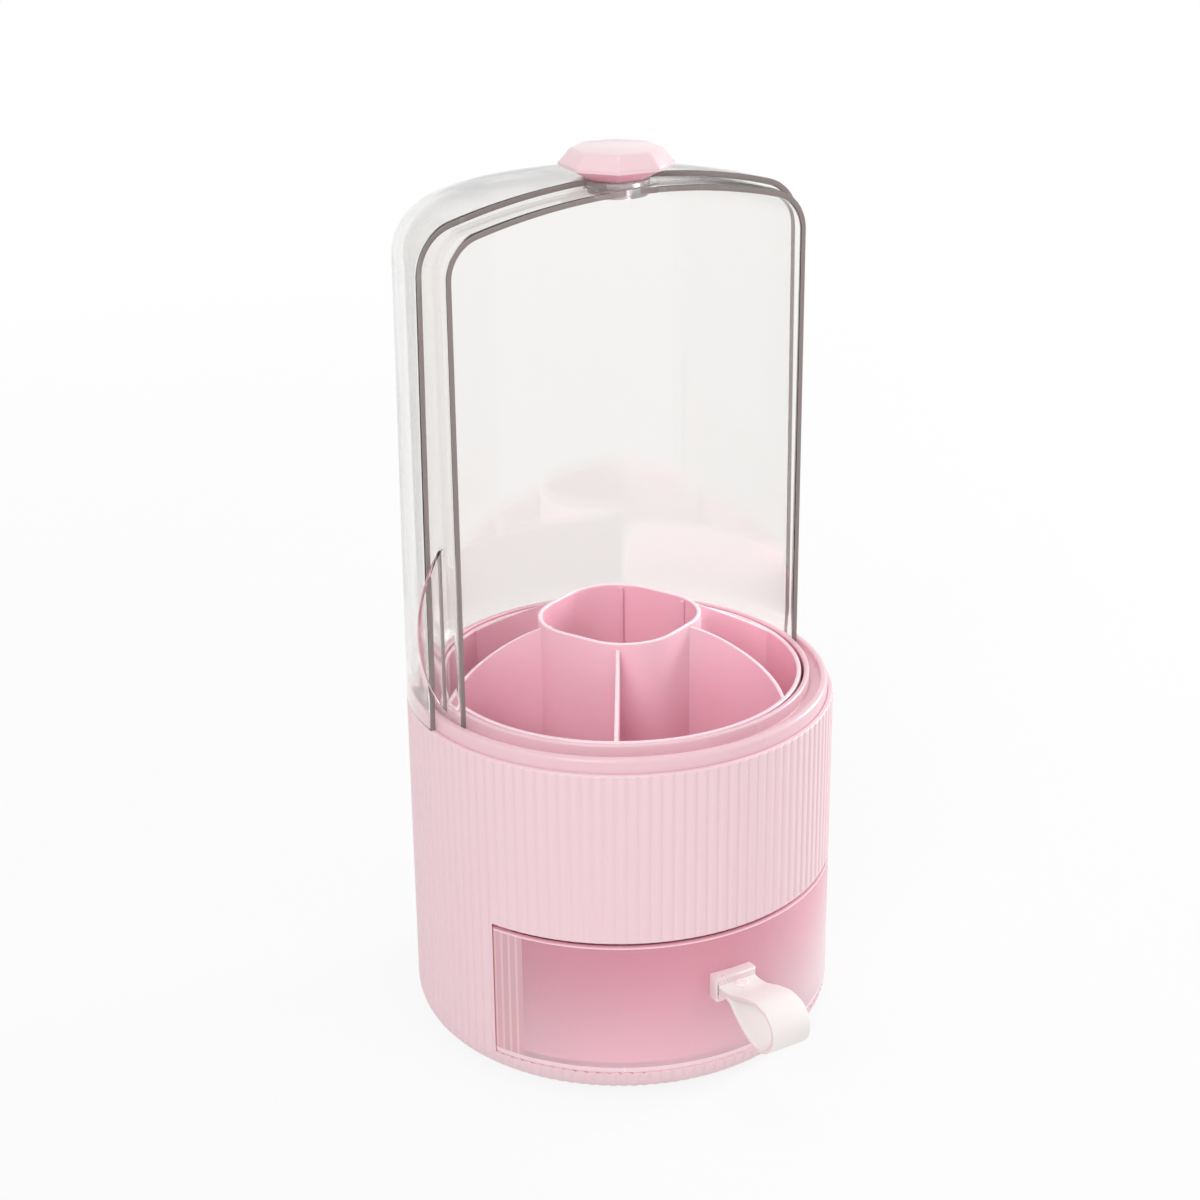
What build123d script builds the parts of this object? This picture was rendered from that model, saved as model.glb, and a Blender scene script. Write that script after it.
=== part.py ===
from build123d import *
import os
from math import asin, cos, degrees, radians, sin

# Makeup brush box: a ribbed drum with a drawer, a lift-out brush tray and a clear cover that turns.
# Millimetres, +Z up. The drum stands on z = 0 round the Z axis, and the drawer faces -Y.

os.makedirs("parts", exist_ok=True)

# How far a cutting space runs on past the thing that it cuts
beyond = 50.0

# Drum
drum_radius = 70.0
drum_height = 114.8
drum_corner = 10.0
drum_wall = 3.6
drum_floor = 2.6
rib_count = 120
rib_depth = 0.55
rib_flat_share = 0.44
corner_steps = 4
rebate_depth = 6.8

# Soft pad under the drum
pad_margin = 8.0
pad_thickness = 1.6
pad_proud = 0.8

# Drawer opening in the drum
opening_half_angle = 67.34
opening_bottom = 10.0
opening_top = 57.0
opening_rounding = 0.8
opening_overrun = 1.0

# Drawer
drawer_side_gap = 0.3
drawer_sill_gap = 0.35
drawer_slit = 1.5
panel_thickness = 2.2
tub_side_gap = 2.9
tub_wall = 1.6
tub_floor = 1.8
tub_back_gap = 1.9
tub_fillet = 2.5

# Runners under the drawer
runner_spacing = 60.0
runner_width = 8.0
runner_corner_gap = 1.4
runner_end = 4.0
skid_width = 3.0
skid_height = 2.3
skid_length = 14.0
skid_back_gap = 2.5
slide_gap = 0.3
stop_gap = 0.5

# Pull strap, bracket and rivet, a little left of the drawer's middle
strap_x = -3.0
strap_width = 14.0
strap_thickness = 1.6
bracket_width = 14.8
bracket_below = 4.4
bracket_above = 4.2
bracket_depth = 4.0
bracket_rounding = 1.0
bracket_overlap = 2.0
strap_root_rise = 29.0
strap_root_height = 3.4
socket_depth = 2.4
strap_root_length = 7.6
loop_eye_start = 0.06
loop_eye_steps = 9
loop_points = ((9.3, 4.8), (16.8, 5.6), (22.6, 2.8), (24.5, -2.6), (22.2, -7.8), (16.8, -10.9),
               (10.3, -9.4), (3.3, -4.5))
rivet_radius = 1.3
rivet_head_radius = 2.2
rivet_head = 0.9
rivet_reach = 2.6

# Bowl and rim
bowl_wall = 1.8
bowl_floor = 2.0
bowl_floor_gap = 3.0
bowl_corner = 10.5
ring_rise = 6.7
groove_rise = 2.2
groove_width = 3.5
groove_web = 1.8
band_width = 2.5
band_gap = 0.1
band_rise = 4.7
band_rounding = 1.4

# Clear cover
cover_wall = 1.8
cover_height = 168.0
rear_lean = 1.3
rear_rise = 10.9
rear_corner = 15.6
front_gap = 0.4
front_foot_gap = 0.3
crown_gap = 0.7
front_lean = 0.1
front_rise = 9.8
front_corner = 13.8
front_edge_y = -10.1

# Finger grip on the turning shell
grip_foot_gap = 1.1
grip_length = 54.5
grip_reach = 8.5
grip_thickness = 1.8
grip_gap = 0.4
grip_root = 1.0

# Pivot and knob
rear_lug_radius = 10.3
lug_recess = 0.8
front_lug_radius = 10.0
pin_radius = 3.0
pin_gap = 0.1
pin_head_radius = 3.8
pin_head = 0.8
pin_socket = 4.0
bearing_gap = 0.25
collar_radius = 5.25
boss_rise = 0.3
boss_drop = 1.4
knob_width = 33.0
knob_table = 27.5
knob_base = 18.2
knob_height = 9.0
knob_girdle_z = 4.0
knob_girdle = 0.5
knob_bevel = 1.0
knob_turn = -7.0

# Brush tray
tray_side_gap = 0.8
tray_draft = 1.5
tray_sink = 0.3
tray_wall = 1.6
tray_floor = 1.8
tray_corner = 9.0
tray_gap = 0.3
tray_turn = -33.0
tube_half_side = 24.4
tube_rounding = 18.8
tube_rise = 18.6
tube_wall = 1.5
tube_turn = 12.0
petal_wall = 1.4
petal_drop = 1.0
fin_rise = 4.6
petal_overrun = 2.6
front_petal_angles = (-23.8, -13.8, -29.7)
front_petal_middle = 0.52
rear_petal_angles = (30.3, 41.1, 28.0)
rear_petal_middle = 0.634

# Sizes worked out from the ones above
rear_top = drum_height + cover_height
top_of_all = rear_top + beyond
drum_inner_radius = drum_radius - drum_wall
cut_reach = drum_radius + beyond
drum_floor_z = pad_proud + drum_floor
floor_flat_radius = drum_radius - drum_corner
pad_radius = floor_flat_radius - pad_margin
band_radius = drum_radius - cover_wall - band_gap
rebate_z = drum_height - rebate_depth
opening_half_width = drum_radius * sin(radians(opening_half_angle))
panel_half_width = opening_half_width - drawer_side_gap
panel_bottom = opening_bottom + drawer_sill_gap
panel_top = opening_top - drawer_slit
panel_inner_radius = drum_radius - panel_thickness
tub_half_width = opening_half_width - tub_side_gap
tub_back_radius = drum_inner_radius - tub_back_gap
runner_top = panel_bottom - slide_gap
runner_outer = runner_spacing / 2 + runner_width / 2
runner_half_length = (floor_flat_radius**2 - runner_outer**2) ** 0.5 - runner_corner_gap
skid_back = runner_half_length - skid_back_gap
skid_front = skid_back - skid_length
drawer_travel = skid_front + runner_half_length - runner_end - stop_gap
strap_root_z = opening_bottom + strap_root_rise
ring_top = drum_height + ring_rise
band_top = drum_height + band_rise
groove_floor_z = drum_height + groove_rise
groove_outer_radius = band_radius - band_width
ring_radius = groove_outer_radius - groove_width
bowl_radius = ring_radius - bowl_wall
bowl_floor_z = opening_top + bowl_floor_gap + bowl_floor
front_radius = groove_outer_radius - front_gap
front_foot_z = groove_floor_z + front_foot_gap
front_top = rear_top - cover_wall - crown_gap
grip_bottom = band_top + grip_foot_gap
grip_top = grip_bottom + grip_length
boss_top = front_top + boss_rise
boss_bottom = front_top - cover_wall - boss_drop
lug_top = rear_top - lug_recess
lug_bottom = front_top + bearing_gap
knob_z = lug_top + bearing_gap
tray_z = bowl_floor_z + tray_gap
tray_radius = bowl_radius - tray_side_gap
tray_height = ring_top - tray_z - tray_sink
tray_rim_inner = tray_radius - tray_wall


def round_corner(outline, corner, radius):
    """The flat outline with the corner nearest to the given point rounded."""
    nearest = outline.vertices().sort_by_distance((corner[0], corner[1], 0))[0]
    return fillet(nearest, radius)


def turned(outline):
    """The solid that an outline of radius and height makes round the Z axis."""
    return revolve(Plane.XZ * outline, Axis.Z)


def ring_between(outer, inner, bottom, top):
    """A plain round ring between two radii and two heights."""
    ring = Circle(outer) - Circle(inner)
    return extrude(Pos(0, 0, bottom) * ring, top - bottom)


def block(x_range, y_range, z_range):
    """A box between two values on each axis."""
    size = [high - low for low, high in (x_range, y_range, z_range)]
    middle = [(high + low) / 2 for low, high in (x_range, y_range, z_range)]
    return Pos(*middle) * Box(*size)


def in_front(depth):
    """The space in front of the plane y = depth."""
    return block((-cut_reach, cut_reach), (-cut_reach, depth), (0, top_of_all))


def ribbed_section(crest_radius, height):
    """The drum's ribbed outline at one height: each rib has a valley and a flat crest."""
    pitch = 360 / rib_count
    flat_start = (1 - rib_flat_share) / 2
    corners = ((0, crest_radius - rib_depth), (flat_start, crest_radius), (1 - flat_start, crest_radius))
    points = []
    for rib in range(rib_count):
        for share, radius in corners:
            angle = radians((rib + share) * pitch)
            points.append((radius * cos(angle), radius * sin(angle), height))
    return Face(Wire.make_polygon(points))


def make_drum():
    """Ribbed wall and floor in one, with the drawer's opening and a rebate for the bowl's band."""
    sections = []
    for step in range(corner_steps + 1):
        turn = radians(90 * step / corner_steps)
        crest = drum_radius - drum_corner + drum_corner * sin(turn)
        sections.append(ribbed_section(crest, pad_proud + drum_corner - drum_corner * cos(turn)))
    sections.append(ribbed_section(drum_radius, drum_height))
    outside = Solid.make_loft([section.outer_wire() for section in sections], True)

    cavity = make_face(Polyline((0, drum_floor_z), (drum_inner_radius, drum_floor_z),
                                (drum_inner_radius, rebate_z), (band_radius, rebate_z),
                                (band_radius, top_of_all), (0, top_of_all), (0, drum_floor_z)))
    cavity = round_corner(cavity, (drum_inner_radius, drum_floor_z), drum_corner - drum_wall)
    behind_opening = -(drum_inner_radius**2 - opening_half_width**2) ** 0.5
    opening = block((-opening_half_width, opening_half_width),
                    (-cut_reach, behind_opening + opening_overrun),
                    (opening_bottom, opening_top))
    opening = fillet(opening.edges().filter_by(Axis.Y), opening_rounding)
    return outside - turned(cavity) - opening - make_pad()


def make_pad():
    """Soft round pad that the drum stands on, let into its floor."""
    return extrude(Circle(pad_radius), pad_thickness)


def make_runner(side):
    """A channelled runner on the drum's floor, closed at its front end to stop the drawer."""
    middle = side * runner_spacing / 2
    half_channel = skid_width / 2 + slide_gap
    rail = block((middle - runner_width / 2, middle + runner_width / 2),
                 (-runner_half_length, runner_half_length), (drum_floor_z, runner_top))
    channel = block((middle - half_channel, middle + half_channel),
                    (-runner_half_length + runner_end, runner_half_length),
                    (panel_bottom - skid_height - slide_gap, runner_top))
    return rail - channel


def tub_plan(half_width, back_radius, front_radius_here):
    """The drawer's plan: straight sides between a round back and a round front."""
    half_plane = Rectangle(2 * cut_reach, cut_reach)
    back = Circle(back_radius) & Pos(0, cut_reach / 2) * half_plane
    front = Circle(front_radius_here) & Pos(0, -cut_reach / 2) * half_plane
    return (back + front) & Rectangle(2 * half_width, 2 * cut_reach)


def make_drawer():
    """Clear tub and curved front in one, with two skids at the back that run in the runners."""
    tub = extrude(Pos(0, 0, panel_bottom) * tub_plan(tub_half_width, tub_back_radius, drum_radius),
                  panel_top - panel_bottom)
    panel = ring_between(drum_radius, panel_inner_radius, panel_bottom, panel_top)
    panel &= block((-panel_half_width, panel_half_width), (-cut_reach, 0), (0, panel_top))
    inside = extrude(Pos(0, 0, panel_bottom + tub_floor)
                     * tub_plan(tub_half_width - tub_wall, tub_back_radius - tub_wall, panel_inner_radius),
                     panel_top - panel_bottom)
    inside = fillet(inside.faces().sort_by(Axis.Z)[0].edges(), tub_fillet)
    drawer = tub + panel - inside
    for side in (-1, 1):
        middle = side * runner_spacing / 2
        drawer += block((middle - skid_width / 2, middle + skid_width / 2),
                        (skid_front, skid_back), (panel_bottom - skid_height, panel_bottom))
    return drawer


def make_bracket():
    """Small clear block on the drawer's front, with a socket for the strap's root."""
    face_y = -drum_radius - bracket_depth
    bracket = block((strap_x - bracket_width / 2, strap_x + bracket_width / 2),
                    (face_y, -drum_radius + bracket_overlap),
                    (strap_root_z - bracket_below, strap_root_z + bracket_above))
    bracket = fillet(bracket.faces().sort_by(Axis.Y)[0].edges(), bracket_rounding)
    bracket -= extrude(Circle(drum_radius), top_of_all)
    return bracket - block((strap_x - strap_width / 2, strap_x + strap_width / 2),
                           (face_y, face_y + socket_depth),
                           (strap_root_z - strap_root_height / 2, strap_root_z + strap_root_height / 2))


def strap_profile():
    """Side view of the strap: a root of two layers that opens into a drop-shaped loop."""
    root_y = -drum_radius - bracket_depth + socket_depth
    loop_y = root_y - strap_root_length
    half_root = strap_root_height / 2
    upper = (loop_y, strap_root_z + half_root)
    lower = (loop_y, strap_root_z - half_root)
    around = [(loop_y - reach, strap_root_z + rise) for reach, rise in loop_points]
    outer = Spline(upper, *around, lower)
    shares = [loop_eye_start + (1 - 2 * loop_eye_start) * step / loop_eye_steps
              for step in range(loop_eye_steps + 1)]
    eye_points = [outer @ share + (outer % share).rotate(Axis.Z, 90) * strap_thickness for share in shares]
    inner = Spline(*eye_points)
    loop = make_face(outer + Line(lower, upper))
    eye = make_face(inner + Line(inner @ 1, inner @ 0))
    root = Pos((root_y + loop_y) / 2, strap_root_z) * Rectangle(strap_root_length, strap_root_height)
    return loop + root - eye


def make_strap():
    """Soft pull strap held by its root, with the rivet's hole through both layers."""
    strap = Pos(strap_x, 0, 0) * extrude(Plane.YZ * strap_profile(), strap_width / 2, both=True)
    return strap - rivet_place() * Cylinder(rivet_radius, 2 * strap_root_height)


def rivet_place():
    """Middle of the rivet, in front of the bracket and square to the strap's layers."""
    return Pos(strap_x, -drum_radius - bracket_depth - rivet_reach, strap_root_z)


def make_rivet():
    """Rivet through the strap's two layers, with a low head on each side."""
    half_root = strap_root_height / 2
    rivet = Cylinder(rivet_radius, strap_root_height)
    head = Pos(0, 0, half_root) * extrude(Circle(rivet_head_radius), rivet_head)
    head = fillet(head.edges().group_by(Axis.Z)[-1], rivet_head / 2)
    return rivet_place() * (rivet + head + mirror(head, Plane.XY))


def make_bowl():
    """Bowl that the tray stands in, with its rim: inner ring, groove for the cover and outer band."""
    under = bowl_floor_z - bowl_floor
    outline = make_face(Polyline(
        (0, under), (ring_radius, under), (ring_radius, groove_floor_z - groove_web),
        (groove_outer_radius, groove_floor_z - groove_web), (groove_outer_radius, rebate_z),
        (band_radius, rebate_z), (band_radius, band_top), (groove_outer_radius, band_top),
        (groove_outer_radius, groove_floor_z), (ring_radius, groove_floor_z), (ring_radius, ring_top),
        (bowl_radius, ring_top), (bowl_radius, bowl_floor_z), (0, bowl_floor_z), (0, under)))
    outline = round_corner(outline, (ring_radius, under), bowl_corner + bowl_wall)
    outline = round_corner(outline, (bowl_radius, bowl_floor_z), bowl_corner)
    outline = round_corner(outline, (band_radius, band_top), band_rounding)
    return turned(outline)


def bell(foot_radius_here, eave_radius, foot_z, top_z, rise, corner):
    """Solid bell: a wall that leans in from its foot, a rounded shoulder and a low crown."""
    eave = (eave_radius, top_z - rise)
    wall = Polyline((0, top_z), (0, foot_z), (foot_radius_here, foot_z), eave)
    crown = TangentArc((0, top_z), eave, tangent=(1, 0))
    return turned(round_corner(make_face(wall + crown), eave, corner))


def shell(foot_radius_here, lean, foot_z, top_z, rise, corner):
    """Bell with a wall of even thickness and an open foot."""
    eave_radius = foot_radius_here - lean
    outside = bell(foot_radius_here, eave_radius, foot_z, top_z, rise, corner)
    inside = bell(foot_radius_here - cover_wall, eave_radius - cover_wall, foot_z, top_z - cover_wall,
                  rise - cover_wall * rise / eave_radius, corner - cover_wall)
    return outside - inside


def make_rear_shell():
    """Fixed outer half of the cover, with a round flat lug for the pivot let into the top."""
    whole = shell(drum_radius, rear_lean, drum_height, rear_top, rear_rise, rear_corner)
    recess = extrude(Pos(0, 0, lug_top) * Circle(rear_lug_radius), beyond)
    lug = ring_between(rear_lug_radius, collar_radius + pin_gap, lug_bottom, lug_top)
    hole = extrude(Circle(collar_radius + pin_gap), top_of_all)
    return whole - in_front(0) - recess - hole + lug


def make_front_shell():
    """Turning inner half of the cover, with its lug, a boss on both sides of it and the finger grip."""
    whole = shell(front_radius, front_lean, front_foot_z, front_top, front_rise, front_corner)
    lug_space = extrude(Circle(front_lug_radius), top_of_all)
    middle_of_wall = front_top - cover_wall / 2
    upper_boss = ring_between(collar_radius, pin_radius, middle_of_wall, boss_top)
    lower_boss = ring_between(front_lug_radius, pin_radius, boss_bottom, middle_of_wall)
    hole = extrude(Circle(pin_radius), top_of_all)
    lug = (whole & lug_space) + upper_boss + lower_boss
    return whole - in_front(front_edge_y) + lug - hole + make_grip()


def grip_angle():
    """How far the grip stands in front of the rear shell's edge, as an angle round the Z axis."""
    return degrees(asin((grip_thickness / 2 + grip_gap) / band_radius))


def make_grip():
    """Finger grip: a thin plate with a bow-shaped edge, standing out from the shell's side."""
    side_radius = front_radius - front_lean
    root_radius = side_radius - grip_root
    middle_z = (grip_bottom + grip_top) / 2
    bow = ThreePointArc((side_radius, grip_bottom), (front_radius + grip_reach, middle_z),
                        (side_radius, grip_top))
    root = Polyline((side_radius, grip_top), (root_radius, grip_top), (root_radius, grip_bottom),
                    (side_radius, grip_bottom))
    plate = extrude(Plane.XZ * make_face(bow + root), grip_thickness / 2, both=True)
    return Rot(0, 0, 180 + grip_angle()) * plate


def make_pin():
    """Clear pivot pin with a head under the turning shell, running up into the knob."""
    shank = extrude(Pos(0, 0, boss_bottom) * Circle(pin_radius), knob_z + pin_socket - boss_bottom)
    return shank + extrude(Pos(0, 0, boss_bottom - pin_head) * Circle(pin_head_radius), pin_head)


def make_collar():
    """Clear collar round the pin: it stands on the front shell's boss and turns in the rear shell's lug."""
    return ring_between(collar_radius, pin_radius, boss_top, knob_z)


def octagon(width, height):
    """Flat octagon of the given width across its flats, turned a little from the drawer's front."""
    flat = RegularPolygon(width / 2, 8, major_radius=False)
    return Pos(0, 0, height) * Rot(0, 0, 22.5 + knob_turn) * flat


def make_knob():
    """Knob cut like a gem: base, girdle and table are octagons, with a bevel round the table."""
    levels = [(knob_base, 0), (knob_width, knob_girdle_z), (knob_width, knob_girdle_z + knob_girdle),
              (knob_table, knob_height)]
    stages = [loft([octagon(*low), octagon(*high)], ruled=True) for low, high in zip(levels, levels[1:])]
    knob = stages[0] + stages[1] + stages[2]
    knob = chamfer(knob.faces().sort_by(Axis.Z)[-1].edges(), knob_bevel)
    knob -= extrude(Circle(pin_radius), pin_socket)
    return Pos(0, 0, knob_z) * knob


def tray_solid(inset, floor_z, top_z):
    """Solid of the tray's tapered round form, drawn in by the inset, between two heights."""
    taper = tray_draft / tray_height
    low = tray_radius - tray_draft - inset + taper * floor_z
    high = tray_radius - inset + taper * (top_z - tray_height)
    outline = make_face(Polyline((0, floor_z), (low, floor_z), (high, top_z), (0, top_z), (0, floor_z)))
    return turned(round_corner(outline, (low, floor_z), tray_corner - inset))


def tube_solid(inset):
    """Solid of the tray's middle tube, a square with large rounded corners, drawn in by the inset."""
    side = 2 * (tube_half_side - inset)
    outline = Rot(0, 0, tube_turn - 45) * RectangleRounded(side, side, tube_rounding - inset)
    return extrude(Pos(0, 0, tray_floor) * outline, tray_height + tube_rise - tray_floor)


def wall_space(end_rise):
    """Space under the top edge of the tray's walls, which falls from the tube out to the rim."""
    start_z = tray_height + tube_rise - petal_drop
    end_z = tray_height + end_rise
    slope = (start_z - end_z) / (tray_rim_inner - tube_half_side)
    outline = make_face(Polyline((0, 0), (tray_rim_inner, 0), (tray_rim_inner, end_z),
                                 (0, end_z + slope * tray_rim_inner), (0, 0)))
    return turned(outline) - tube_solid(0)


def petal_line(side, angles, middle):
    """Arc of a petal wall in plan, from inside the tube's wall to past the tray's side."""
    start = tube_half_side - tube_wall / 2
    end = tray_rim_inner + petal_overrun
    reaches = (start, start + middle * (end - start), end)
    points = [(side * reach * cos(radians(angle)), reach * sin(radians(angle)))
              for reach, angle in zip(reaches, angles)]
    return ThreePointArc(*points)


def upright_wall(line, end_rise):
    """Wall that stands on the tray's floor along a line in plan, from the tube to the tray's side."""
    plan = trace(line, petal_wall)
    wall = extrude(Pos(0, 0, tray_floor) * plan, tray_height + tube_rise)
    inside = tray_solid(tray_wall, tray_floor, tray_height)
    inside += extrude(Pos(0, 0, tray_height) * Circle(tray_rim_inner), tube_rise)
    return wall & inside & wall_space(end_rise)


def make_tray():
    """Tray cup, middle tube, four petal walls and two straight walls, in the tray's own frame."""
    cup = tray_solid(0, 0, tray_height) - tray_solid(tray_wall, tray_floor, tray_height)
    pieces = {"tray_cup": cup, "tray_tube": tube_solid(0) - tube_solid(tube_wall)}
    petals = (("front", front_petal_angles, front_petal_middle),
              ("rear", rear_petal_angles, rear_petal_middle))
    for side_name, side in (("left", -1), ("right", 1)):
        for end_name, angles, middle in petals:
            line = petal_line(side, angles, middle)
            pieces[f"tray_petal_{end_name}_{side_name}"] = upright_wall(line, 0)
    pieces["tray_wall_front"] = upright_wall(Line((0, 0), (0, -tray_radius)), 0)
    pieces["tray_wall_rear"] = upright_wall(Line((0, 0), (0, tray_radius)), fin_rise)
    seat = Pos(0, 0, tray_z) * Rot(0, 0, tray_turn)
    return {name: seat * piece for name, piece in pieces.items()}


pieces = {
    "drum_shell": make_drum(),
    "base_pad": make_pad(),
    "bowl_insert": make_bowl(),
    "runner_left": make_runner(-1),
    "runner_right": make_runner(1),
    "rear_shell": make_rear_shell(),
    "front_shell": make_front_shell(),
    "pivot_pin": make_pin(),
    "pivot_collar": make_collar(),
    "gem_knob": make_knob(),
    "drawer_tub": make_drawer(),
    "strap_bracket": make_bracket(),
    "pull_strap": make_strap(),
    "strap_rivet": make_rivet(),
}

for name, piece in (pieces | make_tray()).items():
    export_step(piece, f"parts/{name}.step")

print("The drawer's travel is", round(drawer_travel, 2), "mm")
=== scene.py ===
"""Makeup brush box: a ribbed drum with a drawer, a lift-out tray and a clear cover that turns open."""
import logging
import math
from dataclasses import dataclass
from enum import Enum
from functools import cache
from typing import Any, Callable, Iterable, Mapping, Sequence

import bmesh
import bpy
from mathutils import Matrix, Vector


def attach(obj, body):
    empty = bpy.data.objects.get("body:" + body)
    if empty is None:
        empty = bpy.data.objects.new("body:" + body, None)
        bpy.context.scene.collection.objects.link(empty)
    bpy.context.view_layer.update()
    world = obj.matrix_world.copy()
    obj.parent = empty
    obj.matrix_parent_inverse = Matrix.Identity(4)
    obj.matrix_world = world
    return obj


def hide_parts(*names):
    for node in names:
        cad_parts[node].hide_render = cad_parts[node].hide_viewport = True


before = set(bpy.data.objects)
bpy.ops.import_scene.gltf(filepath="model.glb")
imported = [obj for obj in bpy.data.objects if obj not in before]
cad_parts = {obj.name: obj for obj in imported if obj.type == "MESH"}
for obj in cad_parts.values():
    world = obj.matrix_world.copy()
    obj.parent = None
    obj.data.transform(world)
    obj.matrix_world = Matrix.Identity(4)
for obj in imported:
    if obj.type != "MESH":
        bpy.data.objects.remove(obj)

MM = 0.001
MERGE_DISTANCE = 1e-6
SMOOTH_BELOW = math.radians(40)
FLAT_BELOW = math.radians(2)
WHITE = (1.0, 1.0, 1.0, 1.0)
DRAWER_SHADE = (250, 230, 236)
# Millimetres within which a face counts as lying at a height, and a point as lying on a surface.
NEAR = 0.1
CLOSE = 0.01
# Shares of a face's normal from which the face counts as turned some, half or most of the way.
SOME = 0.3
HALF = 0.5
MOST = 0.8

Pair = tuple[float, float]
Triple = tuple[float, float, float]
Profile = list[Pair]
Faces = list[list[int]]
Piece = bpy.types.Object
Material = bpy.types.Material
NodeTree = bpy.types.NodeTree
Socket = bpy.types.NodeSocket
Choice = Callable[[Vector, Vector], bool]

log = logging.getLogger("brush_box")


class Body(Enum):
    """The bodies that pieces move with."""

    HOUSING = "housing"
    COVER = "front_cover"
    TRAY = "tray"
    DRAWER = "drawer"


class Slot(Enum):
    """The finishes that the record names."""

    DRUM = "pink_drum"
    RIM = "pink_rim"
    TRAY = "pink_tray"
    SHELL = "clear_shell"
    DRAWER = "clear_drawer"
    FITTING = "clear_fitting"
    KNOB = "pink_knob"
    STRAP = "white_strap"
    PAD = "soft_pad"


class Side(Enum):
    """Left or right of the middle plane, as the sign of x."""

    LEFT = -1
    RIGHT = 1


# Outlines


def arc(centre: Pair, radius: float, start: float, end: float, steps: int) -> Profile:
    """Points along an arc between two angles in degrees, both ends included."""
    turns = [math.radians(start + (end - start) * step / steps) for step in range(steps + 1)]
    return [(centre[0] + radius * math.cos(turn), centre[1] + radius * math.sin(turn)) for turn in turns]


def rounded(corners: Sequence[Triple], steps: int = 5) -> Profile:
    """Round the corners of an outline.

    Args:
        corners: Corner points, each with the radius that rounds it. The first and last stay sharp.
        steps: Number of runs in each rounded corner.

    Returns:
        The outline's points in order.
    """
    points: Profile = []
    for index, (x, y, radius) in enumerate(corners):
        if radius <= 0 or index in (0, len(corners) - 1):
            points.append((x, y))
            continue
        here = Vector((x, y))
        back = (Vector(corners[index - 1][:2]) - here).normalized()
        ahead = (Vector(corners[index + 1][:2]) - here).normalized()
        half = back.angle(ahead) / 2
        reach = radius / math.tan(half)
        middle = here + (back + ahead).normalized() * (radius / math.sin(half))
        first, last = here + back * reach - middle, here + ahead * reach - middle
        sweep = first.angle_signed(last)
        for step in range(steps + 1):
            turned = first.copy()
            turned.rotate(Matrix.Rotation(-sweep * step / steps, 2))
            points.append(tuple(middle + turned))
    return points


def three_point_arc(start: Pair, middle: Pair, end: Pair, steps: int) -> Profile:
    """Points along the arc through three points.

    Args:
        start: First point.
        middle: A point that the arc passes.
        end: Last point.
        steps: Number of runs between the points.

    Returns:
        The points in order, both ends included.
    """
    (ax, ay), (bx, by), (cx, cy) = start, middle, end
    double = 2 * (ax * (by - cy) + bx * (cy - ay) + cx * (ay - by))
    squares = [ax * ax + ay * ay, bx * bx + by * by, cx * cx + cy * cy]
    ux = (squares[0] * (by - cy) + squares[1] * (cy - ay) + squares[2] * (ay - by)) / double
    uy = (squares[0] * (cx - bx) + squares[1] * (ax - cx) + squares[2] * (bx - ax)) / double
    first, last = (math.degrees(math.atan2(y - uy, x - ux)) for x, y in (start, end))
    sweep = (last - first + 180) % 360 - 180
    return arc((ux, uy), math.hypot(ax - ux, ay - uy), first, first + sweep, steps)


# Meshes


def add_object(name: str, data: bpy.types.ID) -> bpy.types.Object:
    """Put a new object in the scene.

    Args:
        name: Name of the object.
        data: Its mesh, curve, lamp or camera.

    Returns:
        The object, at the origin.
    """
    thing = bpy.data.objects.new(name, data)
    bpy.context.scene.collection.objects.link(thing)
    return thing


def smooth(mesh: bpy.types.Mesh) -> None:
    """Shade a mesh smooth but for its sharp edges."""
    mesh.shade_smooth()
    mesh.set_sharp_from_angle(angle=SMOOTH_BELOW)


def make_piece(name: str, points: Iterable[Sequence[float]], faces: Faces) -> Piece:
    """Make an object from points in millimetres.

    Args:
        name: Name of the piece.
        points: Places of the vertices.
        faces: Vertex numbers of each face.

    Returns:
        The object, with doubles merged and its faces turned outwards.
    """
    mesh = bpy.data.meshes.new(name)
    mesh.from_pydata([tuple(value * MM for value in point) for point in points], [], faces)
    work = bmesh.new()
    work.from_mesh(mesh)
    bmesh.ops.remove_doubles(work, verts=work.verts, dist=MERGE_DISTANCE)
    bmesh.ops.recalc_face_normals(work, faces=work.faces)
    work.to_mesh(mesh)
    work.free()
    smooth(mesh)
    return add_object(name, mesh)


def settle(piece: Piece) -> Piece:
    """Turn an object and its modifiers into a plain mesh object of the same name.

    Args:
        piece: A mesh or curve object, which is used up.

    Returns:
        The plain piece.
    """
    name = piece.name
    mesh = bpy.data.meshes.new_from_object(piece.evaluated_get(bpy.context.evaluated_depsgraph_get()))
    bpy.data.objects.remove(piece)
    smooth(mesh)
    return add_object(name, mesh)


def soften(piece: Piece, width: float, angle: float = 50, steps: int = 2, beyond: float = 0.0) -> Piece:
    """Round a piece's sharp outward edges.

    Args:
        piece: The piece, which is used up.
        width: Width of the rounding in millimetres.
        angle: Edges that turn by more degrees than this are rounded.
        steps: Number of strips in the rounding.
        beyond: Edges nearer to the Z axis than this stay as they are.

    Returns:
        The rounded piece.
    """
    work = bmesh.new()
    work.from_mesh(piece.data)
    weights = [float(edge.is_convex and edge.calc_face_angle(0.0) > math.radians(angle)
                     and min(math.hypot(*vertex.co.xy) for vertex in edge.verts) >= beyond * MM)
               for edge in work.edges]
    work.free()
    piece.data.attributes.new("bevel_weight_edge", "FLOAT", "EDGE").data.foreach_set("value", weights)
    modifier = piece.modifiers.new("soften", "BEVEL")
    modifier.width = width * MM
    modifier.segments = steps
    modifier.limit_method = "WEIGHT"
    modifier.use_clamp_overlap = False
    return settle(piece)


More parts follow.
